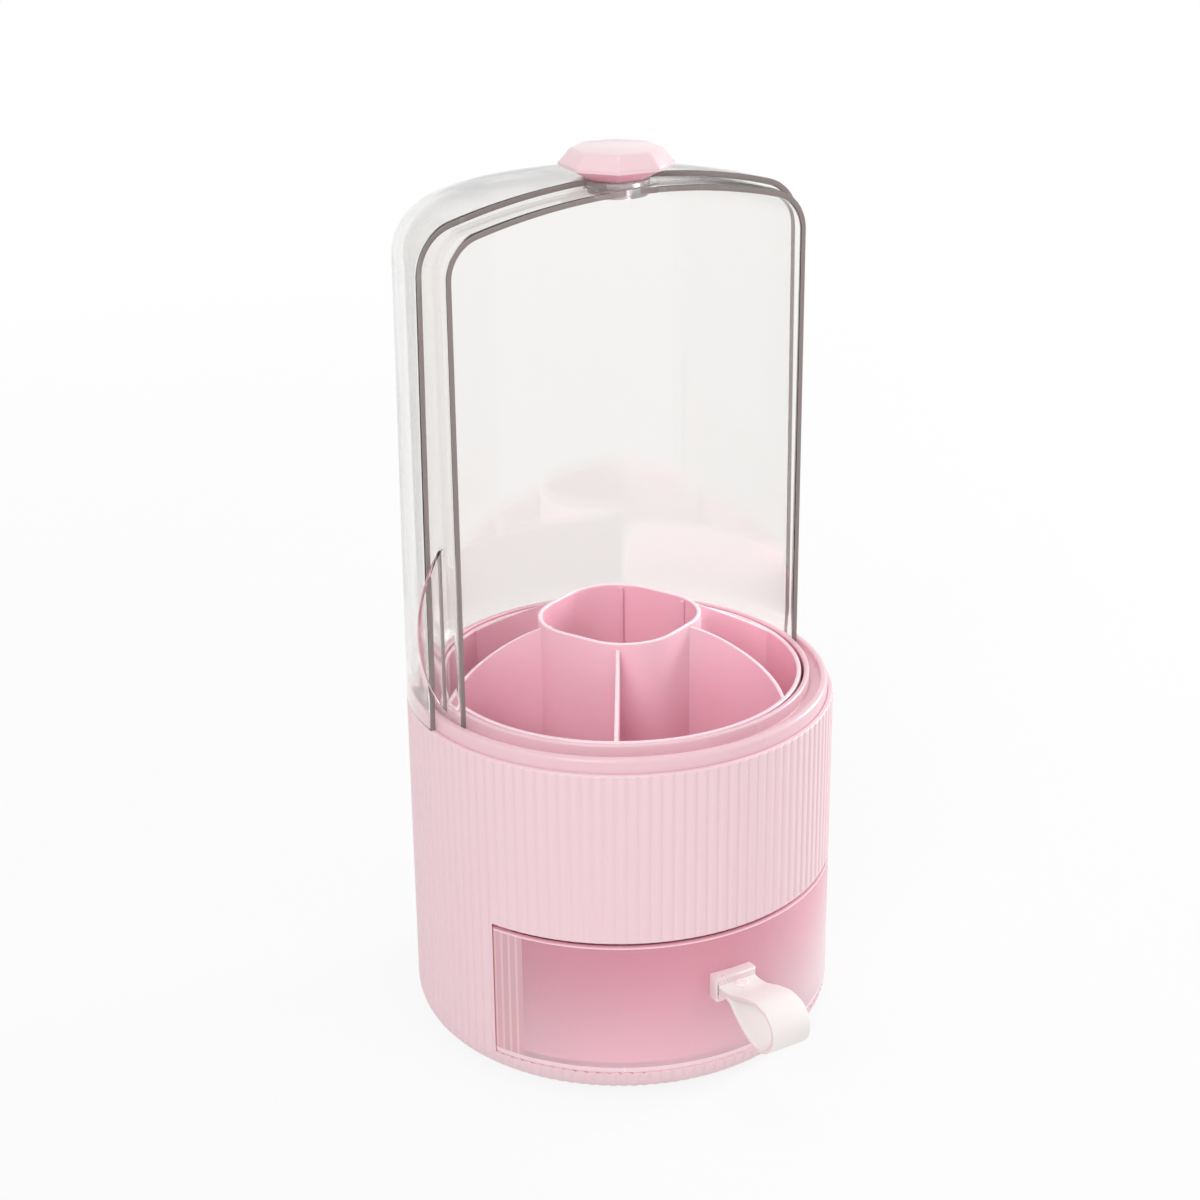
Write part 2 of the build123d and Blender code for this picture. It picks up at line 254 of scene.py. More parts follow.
def unite(first: Piece, other: Piece) -> Piece:
    """Make two solids one.

    Args:
        first: The solid that gives its name.
        other: The solid that is added to it.

    Returns:
        The one solid. Both that were given are used up.
    """
    modifier = first.modifiers.new("unite", "BOOLEAN")
    modifier.solver = "EXACT"
    modifier.operation = "UNION"
    modifier.object = other
    whole = settle(first)
    bpy.data.objects.remove(other)
    return whole


def grid_faces(rows: int, columns: int, closed_rows: bool = False, closed_columns: bool = True) -> Faces:
    """Faces of a grid of vertices numbered row by row.

    Args:
        rows: Number of rows.
        columns: Number of columns.
        closed_rows: True if the last row joins the first.
        closed_columns: True if the last column joins the first.

    Returns:
        The quads.
    """
    faces = []
    for row in range(rows if closed_rows else rows - 1):
        for column in range(columns if closed_columns else columns - 1):
            below, beside = (row + 1) % rows, (column + 1) % columns
            faces.append([row * columns + column, row * columns + beside,
                          below * columns + beside, below * columns + column])
    return faces


def strip_faces(one: Sequence[int], two: Sequence[int]) -> Faces:
    """Quads between two lines of vertex numbers."""
    return [[one[step], one[step + 1], two[step + 1], two[step]] for step in range(len(one) - 1)]


def end_faces(total: int, count: int) -> Faces:
    """The faces that close the first and the last ring of so many vertices."""
    return [list(range(count)), list(range(total - count, total))]


def lathe(name: str, profile: Profile, columns: int = 144) -> Piece:
    """Turn a profile of radius and height about the Z axis, from axis to axis or closed on itself."""
    points = [(radius * math.cos(turn), radius * math.sin(turn), height) for radius, height in profile
              for turn in (2 * math.pi * column / columns for column in range(columns))]
    return make_piece(name, points, grid_faces(len(profile), columns, profile[0][0] > 0))


def stack(name: str, rings: Sequence[tuple[Profile, float]]) -> Piece:
    """Make a closed solid through plan outlines.

    Args:
        name: Name of the piece.
        rings: Outlines of one number of points, each with its height.

    Returns:
        The solid.
    """
    points = [(x, y, height) for outline, height in rings for x, y in outline]
    count = len(rings[0][0])
    return make_piece(name, points, grid_faces(len(rings), count) + end_faces(len(points), count))


def from_node(name: str, softness: float) -> Piece:
    """A merged copy of a solid's mesh with its edges rounded.

    Args:
        name: Name of the node; the copy is named after it.
        softness: Width of the rounding in millimetres.

    Returns:
        The new piece.
    """
    work = bmesh.new()
    work.from_mesh(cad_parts[name].data)
    bmesh.ops.remove_doubles(work, verts=work.verts, dist=MERGE_DISTANCE)
    bmesh.ops.dissolve_limit(work, angle_limit=FLAT_BELOW, verts=work.verts, edges=work.edges)
    mesh = bpy.data.meshes.new(name + "_soft")
    work.to_mesh(mesh)
    work.free()
    return soften(add_object(name + "_soft", mesh), softness)


# Node trees


class Tree:
    """A node tree with short calls to add nodes."""

    def __init__(self, tree: NodeTree) -> None:
        """Keep the tree that the calls work on."""
        self.tree = tree

    def add(self, kind: str, inputs: Mapping[Any, Any] | None = None, **settings: Any) -> bpy.types.Node:
        """Add a node.

        Args:
            kind: The node's type.
            inputs: Values or sockets for the node's inputs, by name or number.
            **settings: The node's own settings.

        Returns:
            The new node.
        """
        node = self.tree.nodes.new(kind)
        for key, value in settings.items():
            setattr(node, key, value)
        for key, value in (inputs or {}).items():
            if isinstance(value, Socket):
                self.tree.links.new(value, node.inputs[key])
            else:
                node.inputs[key].default_value = value
        return node

    def maths(self, operation: str, *values: Any) -> Socket:
        """Work out a value from one or two others."""
        return self.add("ShaderNodeMath", dict(enumerate(values)), operation=operation).outputs[0]

    def ramp(self, value: Socket, low: Any, high: Any, to_low: Any = 0.0, to_high: Any = 1.0,
             kind: str = "LINEAR") -> Socket:
        """Carry a value from the range low to high over to another, and hold it there."""
        return self.add("ShaderNodeMapRange", {
            "Value": value, "From Min": low, "From Max": high, "To Min": to_low, "To Max": to_high},
            interpolation_type=kind).outputs["Result"]

    def blend(self, share: Socket, first: Any, second: Any) -> Socket:
        """Mix two colours, the second by a share."""
        return self.add("ShaderNodeMix", {0: share, 6: first, 7: second}, data_type="RGBA").outputs[2]

    def place(self, **mapping: Triple) -> Socket:
        """Object coordinates, stretched or turned by a Mapping node's values if any are given."""
        place = self.add("ShaderNodeTexCoord").outputs["Object"]
        return self.add("ShaderNodeMapping", {"Vector": place, **mapping}).outputs[0] if mapping else place

    def noise(self, place: Socket, scale: Any, **values: float) -> Socket:
        """Noise of a scale per metre."""
        return self.add("ShaderNodeTexNoise", {"Vector": place, "Scale": scale, **values}).outputs["Fac"]

    def bump(self, height: Socket, strength: float, depth: float) -> Socket:
        """The surface's normal with a height worked into it, of a depth in metres."""
        return self.add("ShaderNodeBump", {"Height": height, "Strength": strength,
                                           "Distance": depth}).outputs["Normal"]

    def finish_geometry(self, geometry: Socket, material: Socket) -> NodeTree:
        """End a geometry tree with real geometry in its material.

        Args:
            geometry: What the tree has made.
            material: The material that it takes.

        Returns:
            The whole tree.
        """
        real = self.add("GeometryNodeRealizeInstances", {0: geometry}).outputs[0]
        painted = self.add("GeometryNodeSetMaterial", {"Geometry": real, "Material": material})
        self.add("NodeGroupOutput", {"Geometry": painted.outputs[0]})
        return self.tree


def group_tree(name: str, kind: str, inputs: Mapping[str, Any],
               outputs: Mapping[str, str]) -> tuple[Tree, Mapping[str, Socket]]:
    """Start a node group.

    Args:
        name: Name of the group.
        kind: Shader or Geometry.
        inputs: The default number of each named input, or its socket type where it has no default.
        outputs: The socket type of each named output.

    Returns:
        The tree, and the sockets that give its inputs.
    """
    group = bpy.data.node_groups.new(name, kind + "NodeTree")
    for label, given in inputs.items():
        plain = given if isinstance(given, str) else type(given).__name__.capitalize()
        socket = group.interface.new_socket(label, in_out="INPUT", socket_type="NodeSocket" + plain)
        if plain != given:
            socket.default_value = given
    for label, plain in outputs.items():
        group.interface.new_socket(label, in_out="OUTPUT", socket_type="NodeSocket" + plain)
    tree = Tree(group)
    return tree, tree.add("NodeGroupInput").outputs


def run_tree(piece: Piece, group: NodeTree, values: Mapping[str, Any]) -> Piece:
    """Run a geometry tree on a piece and keep the plain mesh.

    Args:
        piece: The object that the tree works on, which is used up.
        group: The geometry tree.
        values: Values for the tree's named inputs.

    Returns:
        The piece with a plain mesh and no modifier.
    """
    modifier = piece.modifiers.new(group.name, "NODES")
    modifier.node_group = group
    sockets = {item.name: item.identifier for item in group.interface.items_tree if item.in_out == "INPUT"}
    for label, value in values.items():
        modifier[sockets[label]] = value
    piece.update_tag()
    return settle(piece)


# Finishes


def linear(colour: Triple) -> tuple[float, float, float, float]:
    """A colour written in 0 to 255 screen values, as the renderer's linear values."""
    parts = (part / 12.92 if part <= 0.04045 else ((part + 0.055) / 1.055) ** 2.4
             for part in (value / 255 for value in colour))
    return *parts, 1.0


@cache
def mould_grain() -> NodeTree:
    """Fine moulded grain: a height for the bump and a slight change of roughness.

    Returns:
        The group, with inputs Size, Roughness and Spread, and outputs Height and Roughness.
    """
    tree, given = group_tree("Mould grain", "Shader", {"Size": 1400.0, "Roughness": 0.4, "Spread": 0.06},
                             {"Height": "Float", "Roughness": "Float"})
    place = tree.place()
    fine = tree.noise(place, given["Size"], Detail=3.0, Roughness=0.55)
    slow = tree.noise(place, 22.0, Detail=2.0)
    shift = tree.maths("MULTIPLY", tree.maths("SUBTRACT", slow, 0.5), given["Spread"])
    tree.add("NodeGroupOutput", {"Height": fine, "Roughness": tree.maths("ADD", shift, given["Roughness"])})
    return tree.tree


@cache
def melt_tone() -> NodeTree:
    """Slow drift between two tones of a moulded colour, as the melt leaves it.

    Returns:
        The group, with inputs Colour, Deep Colour, Size and Share, and the output Colour.
    """
    tree, given = group_tree("Melt tone", "Shader", {"Colour": "Color", "Deep Colour": "Color", "Size": 18.0,
                                                     "Share": 0.5}, {"Colour": "Color"})
    slow = tree.noise(tree.place(Scale=(1.0, 1.0, 0.35)), given["Size"], Detail=2.0, Distortion=0.6)
    share = tree.maths("MULTIPLY", slow, given["Share"])
    tree.add("NodeGroupOutput", {"Colour": tree.blend(share, given["Colour"], given["Deep Colour"])})
    return tree.tree


@cache
def fine_scuffs() -> NodeTree:
    """Sparse hair-fine scuffs, as handling leaves on smooth plastic.

    Returns:
        The group, with inputs Size and Share, and the output Mask.
    """
    tree, given = group_tree("Fine scuffs", "Shader", {"Size": 90.0, "Share": 0.5}, {"Mask": "Float"})
    drawn = tree.place(Scale=(1.0, 1.0, 0.12), Rotation=(0.3, 0.2, 0.0))
    hairs = tree.noise(drawn, given["Size"], Detail=4.0, Roughness=0.7)
    tree.add("NodeGroupOutput", {"Mask": tree.ramp(hairs, 0.56, 0.72, 0.0, given["Share"])})
    return tree.tree


def new_material(name: str) -> tuple[Material, Tree]:
    """Start a material with an empty tree.

    Args:
        name: Name of the material.

    Returns:
        The material and its tree.
    """
    material = bpy.data.materials.new(name)
    material.use_nodes = True
    material.node_tree.nodes.clear()
    return material, Tree(material.node_tree)


@dataclass(frozen=True)
class MouldedPlastic:
    """Opaque moulded plastic with a fine grain and a slow drift of tone."""

    name: str
    colour: Triple
    deep: Triple
    roughness: float
    grain: float = 0.04
    grain_size: float = 1400.0
    coat: float = 0.0
    glow: float = 0.0
    # Strength of an emission in the plastic's own tone: a painted glow, as though light came through the
    # wall.
    lit_through: float = 0.0
    haze: float = 0.0

    def build(self) -> Material:
        """Make the material.

        Returns:
            The new material.
        """
        material, tree = new_material(self.name)
        tone = tree.add("ShaderNodeGroup", {"Colour": linear(self.colour), "Deep Colour": linear(self.deep)},
                        node_tree=melt_tone()).outputs["Colour"]
        grain = tree.add("ShaderNodeGroup", {"Size": self.grain_size, "Roughness": self.roughness},
                         node_tree=mould_grain()).outputs
        shader = tree.add("ShaderNodeBsdfPrincipled", {
            "Base Color": tone, "Roughness": grain["Roughness"],
            "Normal": tree.bump(grain["Height"], self.grain, 0.0004),
            "Coat Weight": self.coat, "Coat Roughness": 0.12,
            "Subsurface Weight": self.glow, "Subsurface Scale": 0.004, "Subsurface Radius": (1.0, 0.45, 0.5),
            # The emission is a painted glow in the plastic's tone.
            "Emission Color": tone, "Emission Strength": self.lit_through,
            "Sheen Weight": self.haze, "Sheen Roughness": 0.5})
        tree.add("ShaderNodeOutputMaterial", {"Surface": shader.outputs[0]})
        return material


@dataclass(frozen=True)
class ClearPlastic:
    """Clear moulded plastic with fine scuffs and slow waves. A share can scatter light like milk glass."""

    name: str
    tint: Triple
    roughness: float = 0.03
    clear: float = 1.0
    scuffs: float = 0.10
    waves: float = 0.03
    lamp_share: Triple = (236, 232, 232)
    # A paler colour low down, painted light, and the heights over which it fades up into the tint.
    foot: Triple | None = None
    foot_heights: Pair = (10.0, 60.0)
    haze: float = 0.0
    # Fine upright lines of a paler tone: painted refraction, as of a wall seen edge on.
    lines: int = 0
    line_tone: Triple = (250, 226, 220)

    def tone(self, tree: Tree, place: Socket) -> Any:
        """The tint, with fine upright lines of painted refraction and a paler foot of painted light where the
        finish has them.

        Args:
            tree: The material's tree.
            place: Object coordinates.

        Returns:
            A colour, or the socket that gives it.
        """
        tint = linear(self.tint)
        parts = tree.add("ShaderNodeSeparateXYZ", {"Vector": place}).outputs
        # Painted refraction: fine upright lines of a paler tone.
        if self.lines:
            across, along = (tree.maths("ABSOLUTE", parts[axis]) for axis in ("X", "Y"))
            turn = tree.maths("MULTIPLY", tree.maths("ARCTAN2", across, along), float(self.lines))
            tint = tree.blend(tree.ramp(tree.maths("SINE", turn), 0.4, 0.95), tint, linear(self.line_tone))
        # Painted light and shade: a paler foot fading up into a deeper tint.
        if self.foot is not None:
            low, high = self.foot_heights
            rise = tree.ramp(parts["Z"], low * MM, high * MM, kind="SMOOTHSTEP")
            tint = tree.blend(rise, linear(self.foot), tint)
        return tint

    def build(self) -> Material:
        """Make the material. Rays from lamps pass it, so that what stands behind it is lit.

        Returns:
            The new material.
        """
        material, tree = new_material(self.name)
        place = tree.place()
        scuffs = tree.add("ShaderNodeGroup", {"Share": self.scuffs}, node_tree=fine_scuffs()).outputs["Mask"]
        shader = tree.add("ShaderNodeBsdfPrincipled", {
            "Base Color": tree.blend(scuffs, self.tone(tree, place), WHITE),
            "Roughness": tree.maths("ADD", scuffs, self.roughness),
            "Normal": tree.bump(tree.noise(place, 26.0, Detail=1.0), self.waves, 0.002),
            "Transmission Weight": self.clear, "IOR": 1.46,
            "Sheen Weight": self.haze, "Sheen Roughness": 0.5})
        through = tree.add("ShaderNodeBsdfTransparent", {"Color": linear(self.lamp_share)})
        rays = tree.add("ShaderNodeLightPath")
        mixed = tree.add("ShaderNodeMixShader", {0: rays.outputs["Is Shadow Ray"], 1: shader.outputs[0],
                                                 2: through.outputs[0]})
        tree.add("ShaderNodeOutputMaterial", {"Surface": mixed.outputs[0]})
        return material


class Finish(Enum):
    """Every finish of the box. The first nine have the names of the record's slots."""

    DRUM = MouldedPlastic("Drum pink", (239, 208, 215), (235, 201, 210), roughness=0.42, haze=0.15)
    RIM = MouldedPlastic("Rim pink", (236, 199, 208), (230, 188, 199), roughness=0.28, grain=0.02)
    # The tray's pink is deepened as painted shade, as in its shaded compartments; the outside keeps the paler
    # plain tone.
    TRAY = MouldedPlastic("Tray pink", (247, 196, 210), (243, 182, 199), roughness=0.30, grain=0.02,
                          glow=0.12)
    SHELL = ClearPlastic("Clear shell", (250, 249, 248))
    # Painted shade and light: the drawer's deep pink stands in for the shaded pink inside seen through it,
    # paling to a painted light foot.
    DRAWER = ClearPlastic("Clear drawer", (248, 184, 201), roughness=0.16, clear=0.60, scuffs=0.03,
                          waves=0.08, lamp_share=DRAWER_SHADE, foot=(247, 220, 228), haze=0.5)
    FITTING = ClearPlastic("Clear fitting", (254, 240, 242), roughness=0.22, clear=0.3, waves=0.15)
    KNOB = MouldedPlastic("Knob pink", (238, 207, 213), (234, 199, 207), roughness=0.24, grain=0.02, coat=0.4,
                          haze=0.2)
    STRAP = MouldedPlastic("Strap white", (241, 235, 234), (238, 230, 229), roughness=0.42, grain=0.12,
                           grain_size=900.0, glow=0.15)
    PAD = MouldedPlastic("Soft pad", (228, 196, 203), (220, 186, 195), roughness=0.75, grain=0.35,
                         grain_size=700.0)
    # Painted shade: a deep red-pink where the drum's inside lies in shade, with a small painted glow.
    DRUM_INSIDE = MouldedPlastic("Drum inside", (226, 96, 128), (218, 84, 116), roughness=0.45,
                                 lit_through=0.12)
    # Painted shade: a deeper pink inside the bowl, where shade falls.
    BOWL_INSIDE = MouldedPlastic("Bowl inside", (243, 174, 194), (237, 158, 181), roughness=0.26, grain=0.02)
    TRAY_OUTSIDE = MouldedPlastic("Tray outside", (240, 206, 213), (236, 199, 208), roughness=0.30,
                                  grain=0.02)
    # Painted highlight: a pale pink along the tray's top edges, where light catches them.
    TRAY_RIM = MouldedPlastic("Tray rim", (252, 228, 235), (249, 219, 228), roughness=0.30, grain=0.02,
                              glow=0.2)
    # Painted shade: a deeper pink under the knob.
    KNOB_UNDER = MouldedPlastic("Knob underside", (246, 172, 190), (242, 163, 183), roughness=0.3, grain=0.02,
                                glow=0.3)
    # Painted shade: a darker, warmer tone on the strap's side edges.
    STRAP_EDGE = MouldedPlastic("Strap edge", (238, 217, 216), (234, 210, 209), roughness=0.5, grain=0.12,
                                grain_size=900.0)
    LUG = ClearPlastic("Pivot lug", (252, 250, 250), roughness=0.30, clear=0.85, waves=0.15)
    # Painted shade: a grey, half-opaque cut edge and grip root, in place of the dark lines that light leaves
    # in clear plastic there.
    CUT_EDGE = ClearPlastic("Cut edge of the shell", (176, 161, 158), roughness=0.28, clear=0.4, scuffs=0.3,
                            waves=0.2)
    # Painted highlight: a pale, nearly opaque tone on the drawer's top rim and lower front edge.
    DRAWER_EDGE = ClearPlastic("Edge of the drawer", (253, 226, 233), roughness=0.25, clear=0.15, scuffs=0.04,
                               waves=0.1, lamp_share=DRAWER_SHADE)
    # Painted light: a paler strip of the front beyond the tub's sides, with painted refraction lines.
    DRAWER_END = ClearPlastic("Ends of the drawer", (238, 194, 204), roughness=0.22, clear=0.35, scuffs=0.04,
                              waves=0.1, lines=163, lamp_share=DRAWER_SHADE)

    @cache
    def material(self) -> Material:
        """The finish's material, built once."""
        return self.value.build()


def dress(piece: Piece, finish: Finish, body: Body, node: str) -> Piece:
    """Give a piece its finish and its place in the assembly.

    Args:
        piece: The finished mesh.
        finish: A finish that has the name of a slot.
        body: The body that it moves with.
        node: The solid that it stands for.

    Returns:
        The same piece.
    """
    piece.data.materials.clear()
    piece.data.materials.append(finish.material())
    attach(piece, body.value)
    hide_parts(node)
    log.info("%s: %d faces, rides on %s", piece.name, len(piece.data.polygons), body.value)
    return piece


def mark(piece: Piece, finish: Finish, chosen: Choice) -> None:
    """Give some faces of a dressed piece another finish.

    Args:
        piece: The piece.
        finish: The other finish.
        chosen: Says of a face, by its centre in millimetres and its normal, whether it is one of them.
    """
    piece.data.materials.append(finish.material())
    for face in piece.data.polygons:
        if chosen(face.center / MM, face.normal):
            face.material_index = len(piece.data.materials) - 1


def looks_outwards(centre: Vector, normal: Vector, least: float) -> bool:
    """Whether a face is turned away from the Z axis by more than a share of its normal."""
    return normal.xy.dot(centre.xy) > least * centre.xy.length


# Sub-assemblies


@dataclass
class RibbedDrum:
    """The ribbed drum, its soft pad and the two runners for the drawer. Sizes are in millimetres."""

    radius: float = 70.0
    height: float = 114.8
    corner: float = 10.0
    inner_radius: float = 66.4
    floor_top: float = 3.4
    underside: float = 0.8
    pad_radius: float = 51.95
    pad_seat: float = 52.0
    pad_top: float = 1.6
    rebate_z: float = 108.0
    rebate_radius: float = 68.1
    rebate_chamfer: float = 0.3
    lip: float = 0.8
    rib_count: int = 120
    rib_depth: float = 0.55
    rib_valley: float = 0.62
    rib_fade: float = 1.2
    rib_fade_below: float = 4.0
    ribs_beyond: float = 68.45
    inside_from: float = 3.0
    rib_share_at_slit: float = 0.1
    columns_per_rib: int = 10
    bare_beside_opening: float = 0.45
    opening_half_width: float = 64.6
    opening_bottom: float = 10.0
    opening_top: float = 57.0
    sill_beyond: float = 66.9
    edge_rounding: float = 0.3
    edge_turn: float = 62.0
    runner_rounding: float = 0.35

    @staticmethod
    def rib_tree() -> NodeTree:
        """The rule for the ribs: valleys pressed into the wall at even angles.

        Returns:
            A geometry tree with inputs Rib Count, Rib Depth, Valley Share and Material.
        """
        tree, given = group_tree("Drum ribs", "Geometry", {
            "Geometry": "Geometry", "Rib Count": 12, "Rib Depth": 0.0, "Valley Share": 0.5,
            "Material": "Material"}, {"Geometry": "Geometry"})
        place = tree.add("GeometryNodeInputPosition").outputs[0]
        x, y = tree.add("ShaderNodeSeparateXYZ", {0: place}).outputs[:2]
        turns = tree.maths("DIVIDE", tree.maths("ARCTAN2", y, x), 2 * math.pi)
        share = tree.maths("FRACT", tree.maths("MULTIPLY", turns, given["Rib Count"]))
        edge = tree.maths("MULTIPLY", tree.maths("MINIMUM", share, tree.maths("SUBTRACT", 1.0, share)), 2.0)
        inward = tree.maths("MULTIPLY", given["Rib Depth"], -1.0)
        press = tree.ramp(edge, 0.0, given["Valley Share"], inward, 0.0, "SMOOTHSTEP")
        ribbed = tree.add("GeometryNodeInputNamedAttribute", {"Name": "ribbed"}, data_type="FLOAT").outputs[0]
        flat = tree.add("ShaderNodeCombineXYZ", {0: x, 1: y}).outputs[0]
        outward = tree.add("ShaderNodeVectorMath", {0: flat}, operation="NORMALIZE").outputs[0]
        amount = tree.maths("MULTIPLY", press, ribbed)
        offset = tree.add("ShaderNodeVectorMath", {0: outward, "Scale": amount}, operation="SCALE").outputs[0]
        moved = tree.add("GeometryNodeSetPosition", {"Geometry": given["Geometry"], "Offset": offset})
        return tree.finish_geometry(moved.outputs[0], given["Material"])

    def _rows(self) -> list[tuple[float, float, bool]]:
        """The wall's section, from the axis under the floor round to the axis on top of it.

        Returns:
            Radius and height of each row, and whether it is on the inside of the opening's wall.
        """
        middle = (self.radius - self.corner, self.underside + self.corner)
        turn = math.degrees(math.acos((middle[1] - self.opening_bottom) / self.corner)) - 90
        low = arc(middle, self.corner, -90, 0, steps=8)
        low.insert(-1, arc(middle, self.corner, turn, turn, steps=1)[0])
        outside = [(0.0, self.pad_top), (self.pad_seat, self.pad_top), (self.pad_seat, self.underside), *low,
                   (self.radius, self.opening_top), (self.radius, self.opening_top + self.rib_fade),
                   *arc((self.radius - self.lip, self.height - self.lip), self.lip, 0, 90, steps=4),
                   (self.rebate_radius + self.rebate_chamfer, self.height),
                   (self.rebate_radius, self.height - self.rebate_chamfer),
                   (self.rebate_radius, self.rebate_z)]
        inner_corner = self.corner - (self.radius - self.inner_radius)
        heights = (self.rebate_z, self.opening_top, middle[1], self.opening_bottom)
        inside = [(self.inner_radius, height) for height in heights]
        middle = (self.inner_radius - inner_corner, self.floor_top + inner_corner)
        inside += arc(middle, inner_corner, 0, -90, steps=6) + [(0.0, self.floor_top)]
        return [(*spot, False) for spot in outside] + [(*spot, True) for spot in inside]

    def edge_angle(self, radius: float) -> float:
        """Angle from the front to the opening's side at a radius, in degrees."""
        return math.degrees(math.asin(self.opening_half_width / radius))

    def _columns(self) -> list[float]:
        """Angles of the columns from the front, with one at each side of the opening.

        Returns:
            The angles in degrees, from the back round the left.
        """
        count = self.rib_count * self.columns_per_rib
        edge = self.edge_angle(self.radius)
        columns = [-180 + 360 / count * index for index in range(count)]
        columns = [angle for angle in columns if abs(abs(angle) - edge) > self.bare_beside_opening]
        return sorted(columns + [-edge, edge])

    def inner_angle(self, angle: float) -> float:
        """The angle on the inside for a column's angle on the outside.

        Args:
            angle: Angle on the outside in degrees.

        Returns:
            The angle on the inside, stretched so that the opening's sides stand square.
        """
        edge, inner_edge = self.edge_angle(self.radius), self.edge_angle(self.inner_radius)
        size = abs(angle)
        if size <= edge:
            return math.copysign(size * inner_edge / edge, angle)
        return math.copysign(inner_edge + (size - edge) * (180 - inner_edge) / (180 - edge), angle)

    def rib_share(self, place: Vector) -> float:
        """Share of the ribs' depth that a point of the drum takes.

        Args:
            place: The point in metres.

        Returns:
            1 on the wall, less towards the floor, the lip and over the slit, and 0 inside.
        """
        radius, height = math.hypot(place.x, place.y) / MM, place.z / MM
        if radius <= self.ribs_beyond and height >= self.inside_from:
            return 0.0
        low = min(1.0, max(0.0, (radius - (self.radius - self.corner)) / self.rib_fade_below))
        high = min(1.0, max(0.0, self.height + NEAR - height))
        half_slit = (self.opening_half_width - NEAR) * MM
        if abs(height - self.opening_top) < NEAR and abs(place.x) < half_slit and place.y < 0:
            high = self.rib_share_at_slit
        return low * high

    def is_inside(self, centre: Vector, normal: Vector) -> bool:
        """Whether a face belongs to the drum's inside, but not to the opening's sill."""
        return (self.opening_bottom - NEAR < centre.z < self.rebate_z
                and not looks_outwards(centre, normal, SOME)
                and not (normal.z > SOME and centre.xy.length > self.sill_beyond))

    def shell(self) -> None:
        """The drum: wall, floor, lip and the drawer's opening, with ribs from the geometry tree."""
        rows, columns = self._rows(), self._columns()
        edge, count = self.edge_angle(self.radius), len(columns)
        points = []
        for radius, height, inside in rows:
            turns = [math.radians(self.inner_angle(column) if inside else column) for column in columns]
            points += [(radius * math.sin(turn), -radius * math.cos(turn), height) for turn in turns]
        window = [index for index, (radius, height, _) in enumerate(rows)
                  if radius > self.inner_radius - CLOSE
                  and self.opening_bottom - CLOSE <= height <= self.opening_top + CLOSE]
        first, last = columns.index(-edge), columns.index(edge)
        faces = [face for face in grid_faces(len(rows), count) if not (
            face[0] // count in window and face[3] // count in window and first <= face[0] % count < last)]
        outer = [index for index in window if not rows[index][2]]
        inner = [index for index in reversed(window) if rows[index][2]]
        for one, two in ((outer[0], inner[0]), (outer[-1], inner[-1])):
            faces += strip_faces(range(one * count + first, one * count + last + 1),
                                 range(two * count + first, two * count + last + 1))
        for column in (first, last):
            faces += strip_faces([row * count + column for row in outer],
                                 [row * count + column for row in inner])
        drum = make_piece("drum_shell_ribbed", points, faces)
        ribbed = drum.data.attributes.new("ribbed", "FLOAT", "POINT")
        ribbed.data.foreach_set("value", [self.rib_share(vertex.co) for vertex in drum.data.vertices])
        drum = run_tree(drum, self.rib_tree(), {
            "Rib Count": self.rib_count, "Rib Depth": self.rib_depth * MM, "Valley Share": self.rib_valley,
            "Material": Finish.DRUM.material()})
        drum = soften(drum, self.edge_rounding, self.edge_turn)
        dress(drum, Finish.DRUM, Body.HOUSING, "drum_shell")
        # The drum's inside takes a deep red-pink of painted shade and glow.
        mark(drum, Finish.DRUM_INSIDE, self.is_inside)

    def build(self) -> None:
        """Make every piece of the drum."""
        self.shell()
        outline = rounded([(0, 0, 0), (self.pad_radius, 0, 0.5), (self.pad_radius, self.pad_top, 0.2),
                           (0, self.pad_top, 0)])
        dress(lathe("base_pad_soft", outline), Finish.PAD, Body.HOUSING, "base_pad")
        for side in Side:
            name = f"runner_{side.name.lower()}"
            dress(from_node(name, self.runner_rounding), Finish.DRUM, Body.HOUSING, name)


@dataclass
class BowlRim:
    """The bowl that holds the tray, with its stepped rim. Sizes are in millimetres."""

    bowl_radius: float = 60.3
    ring_radius: float = 62.1
    groove_radius: float = 65.6
    band_radius: float = 68.1
    floor_z: float = 62.0
    floor: float = 2.0
    corner: float = 10.5
    wall: float = 1.8
    ring_top: float = 121.5
    band_top: float = 119.5
    groove_floor: float = 117.0
    rebate_z: float = 108.0

    def is_inside(self, centre: Vector, _: Vector) -> bool:
        """Whether a face belongs to the bowl's inside."""
        return centre.xy.length < self.bowl_radius + CLOSE and centre.z > self.floor_z - NEAR

    def build(self) -> None:
        """Turn the bowl and its rim as one piece."""
        under, web = self.floor_z - self.floor, self.groove_floor - self.wall
        corners = [
            (0, under, 0), (self.ring_radius, under, self.corner + self.wall), (self.ring_radius, web, 0.6),
            (self.groove_radius, web, 0.6), (self.groove_radius, self.rebate_z, 0.3),
            (self.band_radius, self.rebate_z, 0.3), (self.band_radius, self.band_top, 1.4),
            (self.groove_radius, self.band_top, 0.5), (self.groove_radius, self.groove_floor, 0.5),
            (self.ring_radius, self.groove_floor, 0.5), (self.ring_radius, self.ring_top, 0.75),
            (self.bowl_radius, self.ring_top, 0.75), (self.bowl_radius, self.floor_z, self.corner),
            (0, self.floor_z, 0)]
        bowl = lathe("bowl_insert_turned", rounded(corners, steps=6), columns=192)
        # The bowl's inside takes a deeper pink of painted shade.
        mark(dress(bowl, Finish.RIM, Body.HOUSING, "bowl_insert"), Finish.BOWL_INSIDE, self.is_inside)


